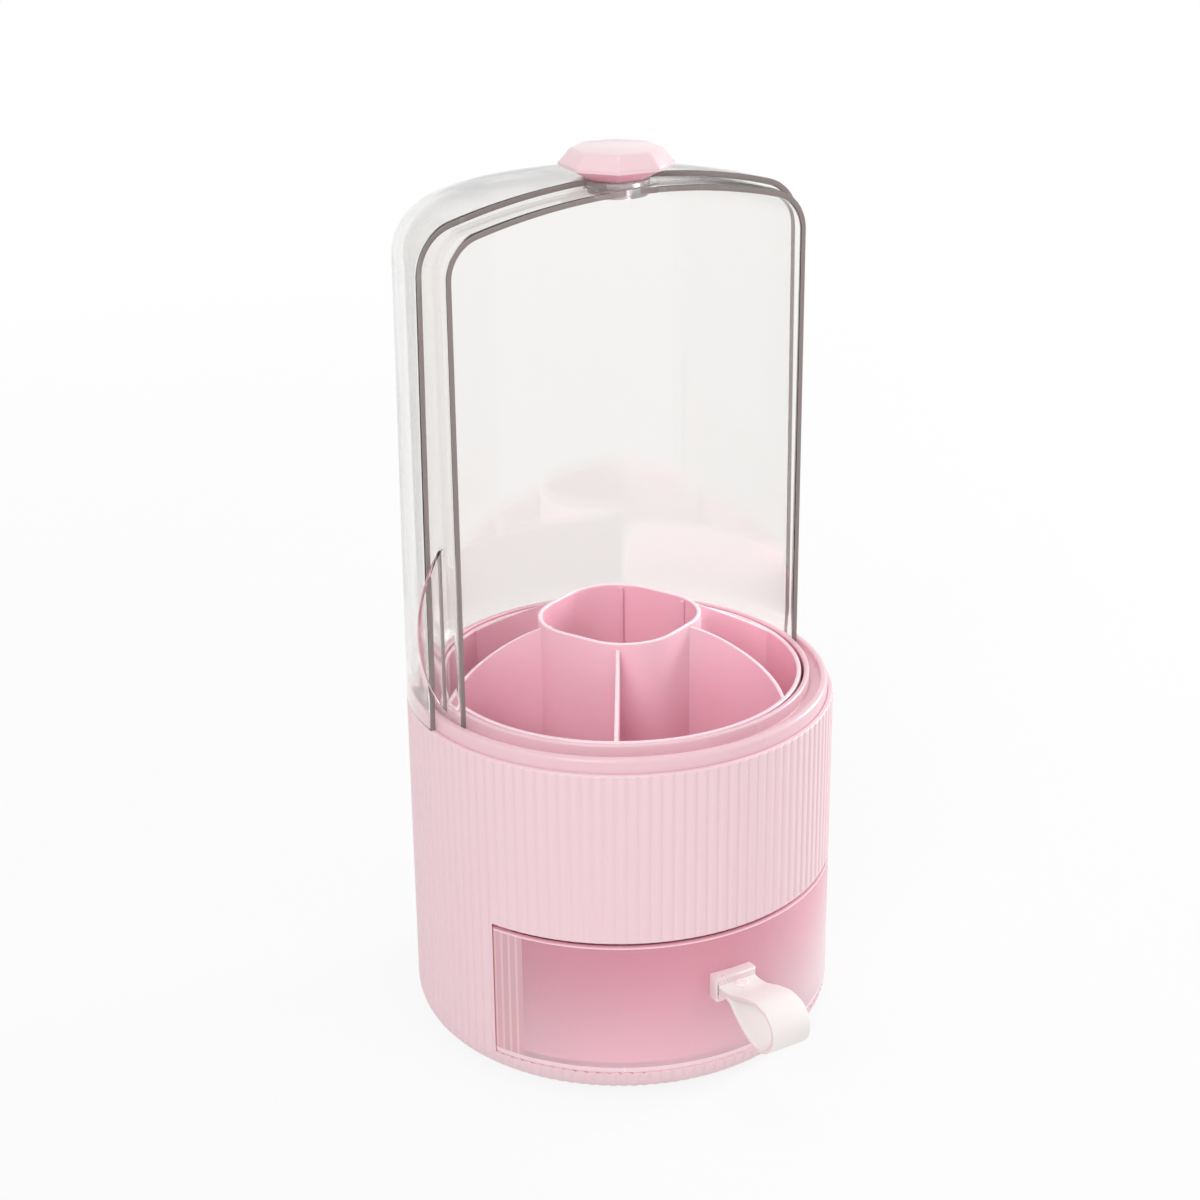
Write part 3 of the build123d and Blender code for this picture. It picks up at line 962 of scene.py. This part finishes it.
@dataclass(frozen=True)
class Bell:
    """A half shell of the cover: wall, rounded shoulder, low crown and lug. Sizes are in millimetres."""

    foot_radius: float
    foot_z: float
    top_z: float
    rise: float
    corner: float
    lean: float
    front_edge: float
    start_radius: float
    # Radius, height and rounding of each corner of the lug about the pivot.
    lug: tuple[Triple, ...]
    crown_steps: int = 14
    corner_steps: int = 14
    wall_steps: int = 12
    lug_reach: float = 10.45
    lug_end_x: float = 7.5
    lug_end_reach: float = 9.9
    lug_turn: float = 0.9
    cut_from: float = 10.4
    cut_width: float = 0.4
    cut_facing: float = 0.9
    soft_beyond: float = 10.6
    edge_rounding: float = 0.3
    wall: float = 1.8
    columns: int = 110

    def outline(self, inset: float) -> Profile:
        """One surface of the wall, from the lug down to the foot.

        Args:
            inset: How far the surface lies inside the outer one.

        Returns:
            Radius and height of each point.
        """
        outer_eave = self.foot_radius - self.lean
        eave, foot = outer_eave - inset, self.foot_radius - inset
        top, corner = self.top_z - inset, self.corner - inset
        rise = self.rise - inset * self.rise / outer_eave
        crown = (eave * eave + rise * rise) / (2 * rise)
        centre = Vector((0.0, top - crown))
        base = Vector((foot, self.foot_z))
        along = (Vector((eave, top - rise)) - base).normalized()
        inward = Vector((-along.y, along.x))
        start = base + inward * corner - centre
        reach, half = crown - corner, start.dot(along)
        travel = -half + math.sqrt(half * half - start.dot(start) + reach * reach)
        middle = centre + start + along * travel
        on_crown = centre + (middle - centre).normalized() * crown
        on_wall = middle - inward * corner
        points = []
        for step in range(self.crown_steps + 1):
            radius = self.start_radius + (on_crown.x - self.start_radius) * step / self.crown_steps
            points.append((radius, centre.y + math.sqrt(crown * crown - radius * radius)))
        first, last = (math.degrees(math.atan2(spot.y - middle.y, spot.x - middle.x))
                       for spot in (on_crown, on_wall))
        points += arc(tuple(middle), corner, first, last, self.corner_steps)[1:]
        return points + [tuple(on_wall + (base - on_wall) * step / self.wall_steps)
                         for step in range(1, self.wall_steps + 1)]

    def build(self, name: str, *extras: Piece) -> Piece:
        """Make the half shell as one closed mesh with its lug.

        Args:
            name: Name of the piece.
            *extras: Solids that are one with the shell.

        Returns:
            The piece, its edges rounded but for those about the lug.
        """
        outer = self.outline(0.0)
        rows = outer + self.outline(self.wall)[::-1]
        wide = self.columns + 1
        points = []
        for radius, height in rows:
            turn = math.asin(min(1.0, self.front_edge / radius))
            angles = [-turn + (math.pi + 2 * turn) * column / self.columns for column in range(wide)]
            points += [(radius * math.cos(angle), radius * math.sin(angle), height) for angle in angles]
        faces = grid_faces(len(rows), wide, True, False)
        top = max(1, sum(radius <= self.front_edge for radius, _ in outer)) - 1
        for column in (0, self.columns):
            faces += strip_faces([step * wide + column for step in range(top, len(outer))],
                                 [(len(rows) - 1 - step) * wide + column for step in range(top, len(outer))])
        shell = make_piece(name, points, faces)
        lug = lathe("lug", rounded(self.lug, steps=3), columns=96)
        # A vertex exactly on the shell's cut would leave the union open.
        lug.data.transform(Matrix.Rotation(math.radians(self.lug_turn), 4, "Z"))
        for extra in (lug, *extras):
            shell = unite(shell, extra)
        return soften(shell, self.edge_rounding, beyond=self.soft_beyond)

    def in_lug(self, centre: Vector, _: Vector) -> bool:
        """Whether a face belongs to the lug."""
        return centre.xy.length < self.lug_reach

    def is_cut(self, centre: Vector, normal: Vector) -> bool:
        """Whether a face lies in the shell's cut edge, or at the lug's ends beside it."""
        return self.is_lug_end(centre, normal) or (
            centre.xy.length > self.cut_from and abs(normal.y) > self.cut_facing
            and abs(centre.y + self.front_edge) < self.cut_width)

    def is_lug_end(self, centre: Vector, normal: Vector) -> bool:
        """Whether a face stands at the lug's end, beside the cut edge."""
        return (abs(normal.z) < HALF and centre.y < 0 and abs(centre.x) > self.lug_end_x
                and self.lug_end_reach < centre.xy.length < self.lug_reach)


@dataclass
class ClearCover:
    """The cover's two half shells, with the pivot's pin, collar and knob. Sizes are in millimetres."""

    rear: Bell = Bell(
        foot_radius=70.0, foot_z=114.8, top_z=282.8, rise=10.9, corner=15.6, lean=1.3, front_edge=0.0,
        start_radius=10.28,
        lug=((5.35, 280.55, 0), (10.32, 280.55, 0.25), (10.32, 282.0, 0.25), (5.35, 282.0, 0)))
    front: Bell = Bell(
        foot_radius=65.2, foot_z=117.3, top_z=280.3, rise=9.8, corner=13.8, lean=0.1, front_edge=10.1,
        start_radius=6.0,
        lug=((3.0, 277.1, 0), (10.0, 277.1, 0.35), (10.0, 280.05, 0), (5.25, 280.25, 0), (5.25, 280.6, 0.1),
             (3.0, 280.6, 0)))
    grip_low: float = 120.6
    grip_high: float = 175.1
    grip_reach: float = 8.5
    grip_thickness: float = 1.8
    grip_turn: float = 181.094
    grip_within: float = 2.5
    root_width: float = 0.8
    root_share: float = 0.8
    pin_radius: float = 2.98
    pin_low: float = 276.3
    pin_head_top: float = 277.1
    pin_top: float = 286.25
    head_radius: float = 3.8
    collar_bore: float = 3.0
    collar_radius: float = 5.25
    collar_low: float = 280.6
    knob_z: float = 282.25
    knob_turn: float = -7.0
    knob_sides: int = 8
    under_facing: float = -0.2
    # Width over the flats and height of each level of the knob.
    knob_levels: tuple[Pair, ...] = ((18.2, 0.0), (33.0, 4.0), (33.0, 4.5), (27.5, 8.1), (26.2, 9.0))

    def grip(self) -> Piece:
        """The bow-shaped finger grip on the turning shell's side.

        Returns:
            A solid with its root in the shell's wall and a line of vertices along that root.
        """
        root, tip = self.front.foot_radius - self.front.lean, self.front.foot_radius + self.grip_reach
        middle = (self.grip_low + self.grip_high) / 2
        bow = three_point_arc((root, self.grip_low), (tip, middle), (root, self.grip_high), steps=30)
        turn = math.radians(self.grip_turn)
        along = Vector((math.cos(turn), math.sin(turn), 0))
        across = Vector((-math.sin(turn), math.cos(turn), 0))
        foot, strip = root - self.front.wall / 2, self.front.wall / 2 + self.root_width
        half = self.grip_thickness / 2
        points = []
        # Each row is on one side, at a share of the way from the foot to the bow or along the root.
        for side, line in ((-half, 1.0), (-half, None), (-half, 0.0), (half, 0.0), (half, None), (half, 1.0)):
            for radius, height in bow:
                full = radius - foot
                reach = foot + (min(strip, self.root_share * full) if line is None else full * line)
                points.append(tuple(along * reach + across * side + Vector((0, 0, height))))
        count = len(bow)
        ends = [[row * count + end for row in range(6)] for end in (0, count - 1)]
        return make_piece("grip", points, grid_faces(6, count, True, False) + ends)

    def is_edge(self, centre: Vector, normal: Vector) -> bool:
        """Whether a face of the turning shell lies in its cut edge or along the grip's root."""
        on_grip = (centre.x < 0 and abs(centre.y) < self.grip_within
                   and self.grip_low < centre.z < self.grip_high)
        return self.front.is_cut(centre, normal) or (on_grip and abs(normal.y) > MOST and (
            -NEAR < centre.xy.length - self.front.foot_radius < self.root_width))

    def knob(self) -> None:
        """The knob, cut like a gem from octagons, with painted shade underneath in a deeper pink."""
        half = math.pi / self.knob_sides
        rings = []
        for width, height in self.knob_levels:
            corner = width / 2 / math.cos(half)
            turns = [half + side * 2 * half + math.radians(self.knob_turn) for side in range(self.knob_sides)]
            rings.append(([(corner * math.cos(turn), corner * math.sin(turn)) for turn in turns],
                          self.knob_z + height))
        knob = soften(stack("gem_knob_cut", rings), width=0.7, angle=12, steps=3)
        dress(knob, Finish.KNOB, Body.COVER, "gem_knob")
        mark(knob, Finish.KNOB_UNDER, lambda centre, normal: normal.z < self.under_facing)

    def build(self) -> None:
        """Make every piece of the cover."""
        shells = ((self.rear, Body.HOUSING, "rear_shell", self.rear.is_cut, ()),
                  (self.front, Body.COVER, "front_shell", self.is_edge, (self.grip(),)))
        for bell, body, node, is_edge, extras in shells:
            shell = dress(bell.build(node + "_clear", *extras), Finish.SHELL, body, node)
            mark(shell, Finish.LUG, bell.in_lug)
            # Cut edges take a grey of painted shade.
            mark(shell, Finish.CUT_EDGE, is_edge)
        pin = [(0, self.pin_low, 0), (self.head_radius, self.pin_low, 0.4),
               (self.head_radius, self.pin_head_top, 0.1), (self.pin_radius, self.pin_head_top, 0.1),
               (self.pin_radius, self.pin_top, 0.3), (0, self.pin_top, 0)]
        collar = [(self.collar_bore, self.collar_low, 0), (self.collar_radius, self.collar_low, 0.3),
                  (self.collar_radius, self.knob_z, 0.3), (self.collar_bore, self.knob_z, 0)]
        for node, corners in (("pivot_pin", pin), ("pivot_collar", collar)):
            dress(lathe(node + "_clear", rounded(corners), columns=64), Finish.FITTING, Body.COVER, node)
        self.knob()


@dataclass
class BrushTray:
    """The lift-out tray: cup, middle tube, petal walls and two straight walls. Sizes are in millimetres."""

    seat_z: float = 62.3
    turn: float = -33.0
    radius: float = 59.5
    draft: float = 1.5
    height: float = 58.9
    wall: float = 1.6
    floor: float = 1.8
    corner: float = 9.0
    tube_half_side: float = 24.4
    tube_rounding: float = 18.8
    tube_rise: float = 18.6
    tube_wall: float = 1.5
    tube_turn: float = 12.0
    tube_sunk: float = 0.2
    rim_depth: float = 0.9
    rim_facing: float = 0.35
    petal_wall: float = 1.4
    petal_drop: float = 1.0
    fin_rise: float = 4.6
    petal_overrun: float = 2.6
    upright_within: float = 42.0
    last_step: float = 0.5
    crest_above: float = 20.0
    fin_steps: int = 20
    # Angles from the X axis at a petal's start, middle and end, and how far out its middle lies.
    front_petals: tuple[Triple, float] = ((-23.8, -13.8, -29.7), 0.52)
    rear_petals: tuple[Triple, float] = ((30.3, 41.1, 28.0), 0.634)
    # Inset and drop below the top of each row of the tube's rounded rim.
    rim_curve: tuple[Pair, ...] = ((0.0, 0.6), (0.08, 0.3), (0.3, 0.08), (0.6, 0.0))
    # Side as a share of half the wall, and drop below the top, of each point of a wall's crest.
    crest: tuple[Pair, ...] = ((1, 0.55), (0.85, 0.2), (0.5, 0.04), (0, 0), (-0.5, 0.04), (-0.85, 0.2),
                               (-1, 0.55))
    # Heights of the points on a wall's sides, where its foot follows the cup's corner.
    wall_foot: tuple[float, ...] = (1.5, 2.6, 4.2, 6.4, 9.2)

    def place(self, points: Iterable[Sequence[float]]) -> list[Triple]:
        """Points of the tray's own frame, turned and set in the bowl."""
        turn = Matrix.Rotation(math.radians(self.turn), 3, "Z")
        return [tuple(turn @ Vector(point) + Vector((0, 0, self.seat_z))) for point in points]

    def dressed(self, piece: Piece, node: str, above: float) -> Piece:
        """Dress a piece of the tray, with a painted highlight in a lighter pink along its top edge.

        Args:
            piece: The piece.
            node: The solid that it stands for.
            above: Height above which upward faces belong to the top edge.

        Returns:
            The same piece.
        """
        dress(piece, Finish.TRAY, Body.TRAY, node)
        mark(piece, Finish.TRAY_RIM, lambda centre, normal: centre.z > above and normal.z > self.rim_facing)
        return piece

    def cup(self) -> None:
        """The tapered cup with a rounded rim and a paler outside; its inside keeps the tray's pink, deepened
        as painted shade.
        """
        inner_low, inner_high = self.radius - self.draft - self.wall, self.radius - self.wall
        low, top = self.seat_z, self.seat_z + self.height
        outline = rounded([
            (0, low, 0), (self.radius - self.draft, low, self.corner), (self.radius, top, 0.7),
            (inner_high, top, 0.7), (inner_low, low + self.floor, self.corner - self.wall),
            (0, low + self.floor, 0)], steps=7)
        cup = self.dressed(lathe("tray_cup_turned", outline, columns=192), "tray_cup", top - self.rim_depth)
        mark(cup, Finish.TRAY_OUTSIDE, lambda centre, normal: centre.z < top - self.rim_depth + NEAR
             and (looks_outwards(centre, normal, SOME) or normal.z < -HALF))

    def tube_outline(self, inset: float) -> Profile:
        """The tube's plan, a square with large rounded corners.

        Args:
            inset: How far the plan is drawn in.

        Returns:
            The plan's points.
        """
        half, rounding = self.tube_half_side - inset, self.tube_rounding - inset
        corner = arc((half - rounding, half - rounding), rounding, 0, 90, steps=16)
        turns = [Matrix.Rotation(math.radians(90 * quarter + self.tube_turn - 45), 2) for quarter in range(4)]
        return [tuple(turn @ Vector(point)) for turn in turns for point in corner]

    def tube(self) -> None:
        """The middle tube with a rounded rim."""
        top, foot = self.height + self.tube_rise, self.floor - self.tube_sunk
        levels = [(0.0, foot)] + [(inset, top - drop) for inset, drop in self.rim_curve]
        levels += [(self.tube_wall - inset, top - drop) for inset, drop in reversed(self.rim_curve)]
        levels.append((self.tube_wall, foot))
        points = [(x, y, height) for inset, height in levels for x, y in self.tube_outline(inset)]
        faces = grid_faces(len(levels), len(points) // len(levels), True)
        self.dressed(make_piece("tray_tube_rounded", self.place(points), faces), "tray_tube",
                     self.seat_z + top - self.rim_depth)

    def middle_of_wall(self, height: float) -> float:
        """Radius of the middle of the cup's wall.

        Args:
            height: Height above the tray's underside.

        Returns:
            The radius there.
        """
        straight = self.radius - self.draft - self.wall / 2 + self.draft * height / self.height
        if height >= self.corner:
            return straight
        middle, reach = self.radius - self.draft - self.corner, self.corner - self.wall / 2
        return min(straight, middle + math.sqrt(max(0.0, reach**2 - (self.corner - height) ** 2)))

    def upright(self, node: str, suffix: str, line: Profile, end_rise: float) -> None:
        """A wall that stands along a line, its top edge falling from the tube to the rim.

        Args:
            node: Name of the solid that it stands for.
            suffix: What the piece's name has after the node's.
            line: Points of the wall's middle line in plan, from the tube outwards.
            end_rise: How far the wall's outer end stands above the rim.
        """
        start_z, end_z = self.height + self.tube_rise - self.petal_drop, self.height + end_rise
        slope = (start_z - end_z) / (self.radius - self.wall - self.tube_half_side)
        full, keep, half = self.middle_of_wall(self.height), self.upright_within, self.petal_wall / 2
        line = [point for point in line if math.hypot(*point) < full - self.last_step]
        tip = Vector(line[-1]) + (Vector(line[-1]) - Vector(line[-2])).normalized()
        line.append(tuple(tip.normalized() * full))
        points = []
        for index, here in enumerate(line):
            ahead = Vector(line[min(index + 1, len(line) - 1)]) - Vector(line[max(index - 1, 0)])
            across = Vector((-ahead.y, ahead.x)).normalized()
            radius = math.hypot(*here)
            top = start_z - slope * (max(radius, self.tube_half_side) - self.tube_half_side)
            ring = [(half, height) for height in self.wall_foot]
            ring += [(half * side, top - drop) for side, drop in self.crest]
            ring += [(-half, height) for height in reversed(self.wall_foot)]
            for side, height in ring:
                reach = radius
                if radius > keep:
                    reach = keep + (radius - keep) * (self.middle_of_wall(height) - keep) / (full - keep)
                spot = Vector(here) * (reach / radius) + across * side
                points.append((spot.x, spot.y, height))
        count = len(points) // len(line)
        faces = grid_faces(len(line), count, False, True) + end_faces(len(points), count)
        wall = make_piece(node + suffix, self.place(points), faces)
        self.dressed(wall, node, self.seat_z + self.crest_above)

    def build(self) -> None:
        """Make every piece of the tray."""
        self.cup()
        self.tube()
        start = self.tube_half_side - self.tube_wall / 2
        end = self.radius - self.wall + self.petal_overrun
        for place, (angles, middle) in (("front", self.front_petals), ("rear", self.rear_petals)):
            for side in Side:
                reaches = (start, start + middle * (end - start), end)
                turns = [math.radians(angle) for angle in angles]
                spots = [(side.value * reach * math.cos(turn), reach * math.sin(turn))
                         for reach, turn in zip(reaches, turns)]
                node = f"tray_petal_{place}_{side.name.lower()}"
                self.upright(node, "_wall", three_point_arc(*spots, steps=36), 0.0)
        for place, way, rise in (("front", -1, 0.0), ("rear", 1, self.fin_rise)):
            line = [(0.0, way * (start + (self.radius - start) * step / self.fin_steps))
                    for step in range(self.fin_steps + 1)]
            self.upright(f"tray_wall_{place}", "_fin", line, rise)


@dataclass
class Drawer:
    """The clear drawer with its bracket, pull strap and rivet. Sizes are in millimetres."""

    low: float = 10.35
    high: float = 55.5
    front_radius: float = 70.0
    panel_inner: float = 67.8
    panel_half_width: float = 64.3
    tub_half_width: float = 61.7
    tub_back: float = 64.5
    edge_depth: float = 0.5
    front_before: float = -20.0
    tub_wall: float = 1.6
    tub_floor: float = 1.8
    fillet: float = 2.5
    fillet_steps: int = 5
    skid_x: float = 30.0
    skid_width: float = 3.0
    skid_height: float = 2.3
    skid_root: float = 0.5
    skid_y: Pair = (31.54, 45.54)
    strap_width: float = 14.0
    strap_thickness: float = 1.5
    strap_rounding: float = 0.45
    strap_place: Triple = (-3.0, -71.6, 39.0)
    # How far the strap's middle line stands out, and how high, at each point along it.
    loop: tuple[Pair, ...] = ((0.0, 0.9), (7.6, 0.9), (11.5, 2.1), (16.6, 3.9), (24.2, 4.9), (29.6, 2.3),
                              (31.3, -2.6), (29.1, -7.3), (24.4, -9.9), (18.4, -8.6), (11.5, -4.1),
                              (7.6, -0.9), (0.0, -0.9))
    rivet_place: Triple = (-3.0, -76.6, 39.0)
    rivet_radius: float = 1.3
    rivet_half: float = 1.75
    head_radius: float = 2.2
    head_height: float = 0.9

    def plan(self, inset: float, panel: bool) -> Profile:
        """The drawer's plan.

        Args:
            inset: How far the plan is drawn in from the tub's outside.
            panel: True for the outer plan, which has the wide front panel.

        Returns:
            The outline, from the right end of the front round by the left.
        """
        half, back = self.tub_half_width - inset, self.tub_back - inset
        front = self.front_radius if panel else self.panel_inner - inset + self.tub_wall
        wide = self.panel_half_width if panel else half
        edge = math.degrees(math.asin(wide / front))
        face = arc((0, 0), front, -90 + edge, -90 - edge, steps=64)
        step = [face[0], face[0]]
        if panel:
            step = [(x, -math.sqrt(self.panel_inner**2 - x**2)) for x in (wide, half)]
        end = math.degrees(math.acos(half / back))
        rear = arc((0, 0), back, 180 - end, end, steps=48)
        return face + [(-x, y) for x, y in step] + rear + step[::-1]

    def tub(self) -> None:
        """The tub and its curved front in one, with two skids."""
        outer, floor = self.plan(0.0, True), self.low + self.tub_floor
        rings = [(outer, self.low), (outer, floor), (outer, self.high)]
        rings.append((self.plan(self.tub_wall, False), self.high))
        for step in range(self.fillet_steps + 1):
            turn = math.radians(90 * step / self.fillet_steps)
            inner = self.plan(self.tub_wall + self.fillet * (1 - math.cos(turn)), False)
            rings.append((inner, floor + self.fillet * (1 - math.sin(turn))))
        tub = stack("drawer_tub_clear", rings)
        front, back = self.skid_y
        for side in Side:
            middle = side.value * self.skid_x
            left, right = middle - self.skid_width / 2, middle + self.skid_width / 2
            plan = [(left, front), (right, front), (right, back), (left, back)]
            skid = stack("skid", [(plan, self.low - self.skid_height), (plan, self.low + self.skid_root)])
            tub = unite(tub, skid)
        tub = dress(soften(tub, width=0.4), Finish.DRAWER, Body.DRAWER, "drawer_tub")
        # The front beyond the tub's sides takes a paler painted light with refraction lines.
        mark(tub, Finish.DRAWER_END, self.is_end)
        # The rim and lower front edge take a painted highlight.
        mark(tub, Finish.DRAWER_EDGE, self.is_edge)

    def is_edge(self, centre: Vector, normal: Vector) -> bool:
        """Whether a face takes the painted edge highlight: the top rim and the front's lower edge."""
        return (centre.z > self.high - self.edge_depth
                or self.faces_front(centre, normal) and centre.z < self.low + self.tub_floor)

    def is_end(self, centre: Vector, normal: Vector) -> bool:
        """Whether a face of the front lies beyond the tub's side."""
        return self.faces_front(centre, normal) and abs(centre.x) > self.tub_half_width - self.tub_wall

    def faces_front(self, centre: Vector, normal: Vector) -> bool:
        """Whether a face belongs to the curved front's outside."""
        return centre.y < self.front_before and looks_outwards(centre, normal, HALF)

    @staticmethod
    def strap_tree() -> NodeTree:
        """The rule for the strap: a flat section with rounded edges along a path.

        Returns:
            A geometry tree with inputs Width, Thickness, Edge Rounding and Material.
        """
        tree, given = group_tree("Strap along path", "Geometry", {
            "Geometry": "Geometry", "Width": 0.01, "Thickness": 0.001, "Edge Rounding": 0.0004,
            "Material": "Material"}, {"Geometry": "Geometry"})
        section = tree.add("GeometryNodeCurvePrimitiveQuadrilateral",
                           {"Width": given["Width"], "Height": given["Thickness"]}).outputs[0]
        rounding = tree.add("GeometryNodeFilletCurve", {
            "Curve": section, "Radius": given["Edge Rounding"], "Count": 3}, mode="POLY").outputs[0]
        swept = tree.add("GeometryNodeCurveToMesh", {
            "Curve": given["Geometry"], "Profile Curve": rounding, "Fill Caps": True}).outputs[0]
        return tree.finish_geometry(swept, given["Material"])

    def strap(self) -> None:
        """The soft pull strap, both ends held in the bracket."""
        curve = bpy.data.curves.new("pull_strap_soft", "CURVE")
        curve.dimensions = "3D"
        curve.resolution_u = 10
        spline = curve.splines.new("BEZIER")
        spline.bezier_points.add(len(self.loop) - 1)
        x, y, z = self.strap_place
        for point, (reach, rise) in zip(spline.bezier_points, self.loop):
            point.co = (x * MM, (y - reach) * MM, (z + rise) * MM)
            point.handle_left_type = point.handle_right_type = "AUTO"
        strap = run_tree(add_object("pull_strap_soft", curve), self.strap_tree(), {
            "Width": self.strap_width * MM, "Thickness": self.strap_thickness * MM,
            "Edge Rounding": self.strap_rounding * MM, "Material": Finish.STRAP.material()})
        dress(strap, Finish.STRAP, Body.DRAWER, "pull_strap")
        # The strap's side edges take a painted shade.
        mark(strap, Finish.STRAP_EDGE, lambda centre, normal: abs(normal.x) > MOST)

    def rivet(self) -> None:
        """The rivet through the strap's two layers, with a round head at both ends."""
        head, shank, half = self.head_radius, self.rivet_radius, self.rivet_half
        end = half + self.head_height
        outline = rounded([(0, -end, 0), (head, -end, 0.6), (head, -half, 0.1), (shank, -half, 0.1),
                           (shank, half, 0.1), (head, half, 0.1), (head, end, 0.6), (0, end, 0)], steps=3)
        rivet = lathe("strap_rivet_turned", outline, columns=40)
        rivet.data.transform(Matrix.Translation([value * MM for value in self.rivet_place]))
        dress(rivet, Finish.FITTING, Body.DRAWER, "strap_rivet")

    def build(self) -> None:
        """Make every piece of the drawer."""
        self.tub()
        self.strap()
        dress(from_node("strap_bracket", softness=0.3), Finish.FITTING, Body.DRAWER, "strap_bracket")
        self.rivet()


# Studio


@dataclass(frozen=True)
class SoftLamp:
    """A soft lamp: where it hangs and what it is aimed at in metres, its width and its power."""

    name: str
    place: Triple
    target: Triple
    size: float
    power: float

    def build(self) -> None:
        """Hang the lamp."""
        light = bpy.data.lights.new(self.name, "AREA")
        light.shape = "DISK"
        light.size = self.size
        light.energy = self.power
        lamp = add_object(self.name, light)
        lamp.location = self.place
        lamp.rotation_euler = (Vector(self.target) - Vector(self.place)).to_track_quat("-Z", "Y").to_euler()


@dataclass
class Studio:
    """Floor, light and camera. Places are in metres, and the camera's lens is in millimetres."""

    camera_place: Triple = (-0.36226, -0.58647, 0.42018)
    camera_target: Triple = (0.0, 0.0, 0.150)
    camera_roll: float = -0.414
    lens: float = 68.57
    sensor_width: float = 36.0
    seen_between: Pair = (0.01, 50.0)
    shift: Pair = (-0.0160, -0.0140)
    floor_reach: float = 5000.0
    floor_grey: float = 0.8
    floor_fade: Pair = (0.25, 1.1)
    white_near: float = 0.86
    world_level: float = 0.62
    lamps: tuple[SoftLamp, ...] = (
        SoftLamp("Key", (-1.3, -1.0, 1.2), (0, 0, 0.12), size=0.9, power=12.3),
        SoftLamp("Fill", (0.45, -1.45, 0.22), (0, 0, 0.06), size=0.8, power=1.4),
        SoftLamp("Side", (1.4, 0.05, 0.5), (0, 0, 0.1), size=0.45, power=12.0),
        SoftLamp("Top", (0.0, -0.2, 1.8), (0, 0, 0.15), size=0.9, power=3.5),
    )

    @staticmethod
    def rays_that_see_white(tree: Tree) -> Socket:
        """One for rays from the camera, and for those that a mirror or clear piece passes on."""
        rays = tree.add("ShaderNodeLightPath").outputs
        return tree.maths("MAXIMUM", tree.maths("MAXIMUM", rays["Is Camera Ray"], rays["Is Glossy Ray"]),
                          rays["Is Transmission Ray"])

    def floor(self) -> None:
        """A wide pale floor that is near white and keeps a soft shadow."""
        reach = self.floor_reach
        corners = [(-reach, -reach, 0), (reach, -reach, 0), (reach, reach, 0), (-reach, reach, 0)]
        floor = make_piece("studio_floor", corners, [[0, 1, 2, 3]])
        material, tree = new_material("Studio floor")
        plain = tree.add("ShaderNodeBsdfDiffuse", {"Color": (*[self.floor_grey] * 3, 1.0)})
        white = tree.add("ShaderNodeEmission", {"Color": WHITE, "Strength": 1.0})
        away = tree.add("ShaderNodeVectorMath", {0: tree.place()}, operation="LENGTH").outputs["Value"]
        white_share = tree.ramp(away, *self.floor_fade, self.white_near, 1.0)
        share = tree.maths("MULTIPLY", self.rays_that_see_white(tree), white_share)
        mixed = tree.add("ShaderNodeMixShader", {0: share, 1: plain.outputs[0], 2: white.outputs[0]})
        tree.add("ShaderNodeOutputMaterial", {"Surface": mixed.outputs[0]})
        floor.data.materials.append(material)

    def world(self) -> None:
        """An even pale surround that shows as white behind the box."""
        world = bpy.data.worlds.new("Studio surround")
        bpy.context.scene.world = world
        world.use_nodes = True
        world.node_tree.nodes.clear()
        tree = Tree(world.node_tree)
        level = tree.ramp(self.rays_that_see_white(tree), 0.0, 1.0, self.world_level, 1.0)
        back = tree.add("ShaderNodeBackground", {"Color": WHITE, "Strength": level})
        tree.add("ShaderNodeOutputWorld", {"Surface": back.outputs[0]})

    def camera(self) -> None:
        """The camera at the photograph's angle."""
        data = bpy.data.cameras.new("Camera")
        data.lens = self.lens
        data.sensor_width = self.sensor_width
        data.shift_x, data.shift_y = self.shift
        data.clip_start, data.clip_end = self.seen_between
        camera = add_object("Camera", data)
        camera.location = self.camera_place
        aim = Vector(self.camera_target) - Vector(self.camera_place)
        roll = Matrix.Rotation(math.radians(self.camera_roll), 3, "Z")
        camera.rotation_euler = (aim.to_track_quat("-Z", "Y").to_matrix() @ roll).to_euler()
        bpy.context.scene.camera = camera

    def build(self) -> None:
        """Set up the whole studio."""
        self.floor()
        self.world()
        self.camera()
        for lamp in self.lamps:
            lamp.build()
        bpy.context.scene.view_settings.view_transform = "Standard"


def main() -> None:
    """Build the box piece by piece."""
    logging.basicConfig(level=logging.INFO, format="%(message)s")
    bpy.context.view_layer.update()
    for part in (Studio(), RibbedDrum(), BowlRim(), ClearCover(), BrushTray(), Drawer()):
        part.build()


if __name__ == "__main__":
    main()
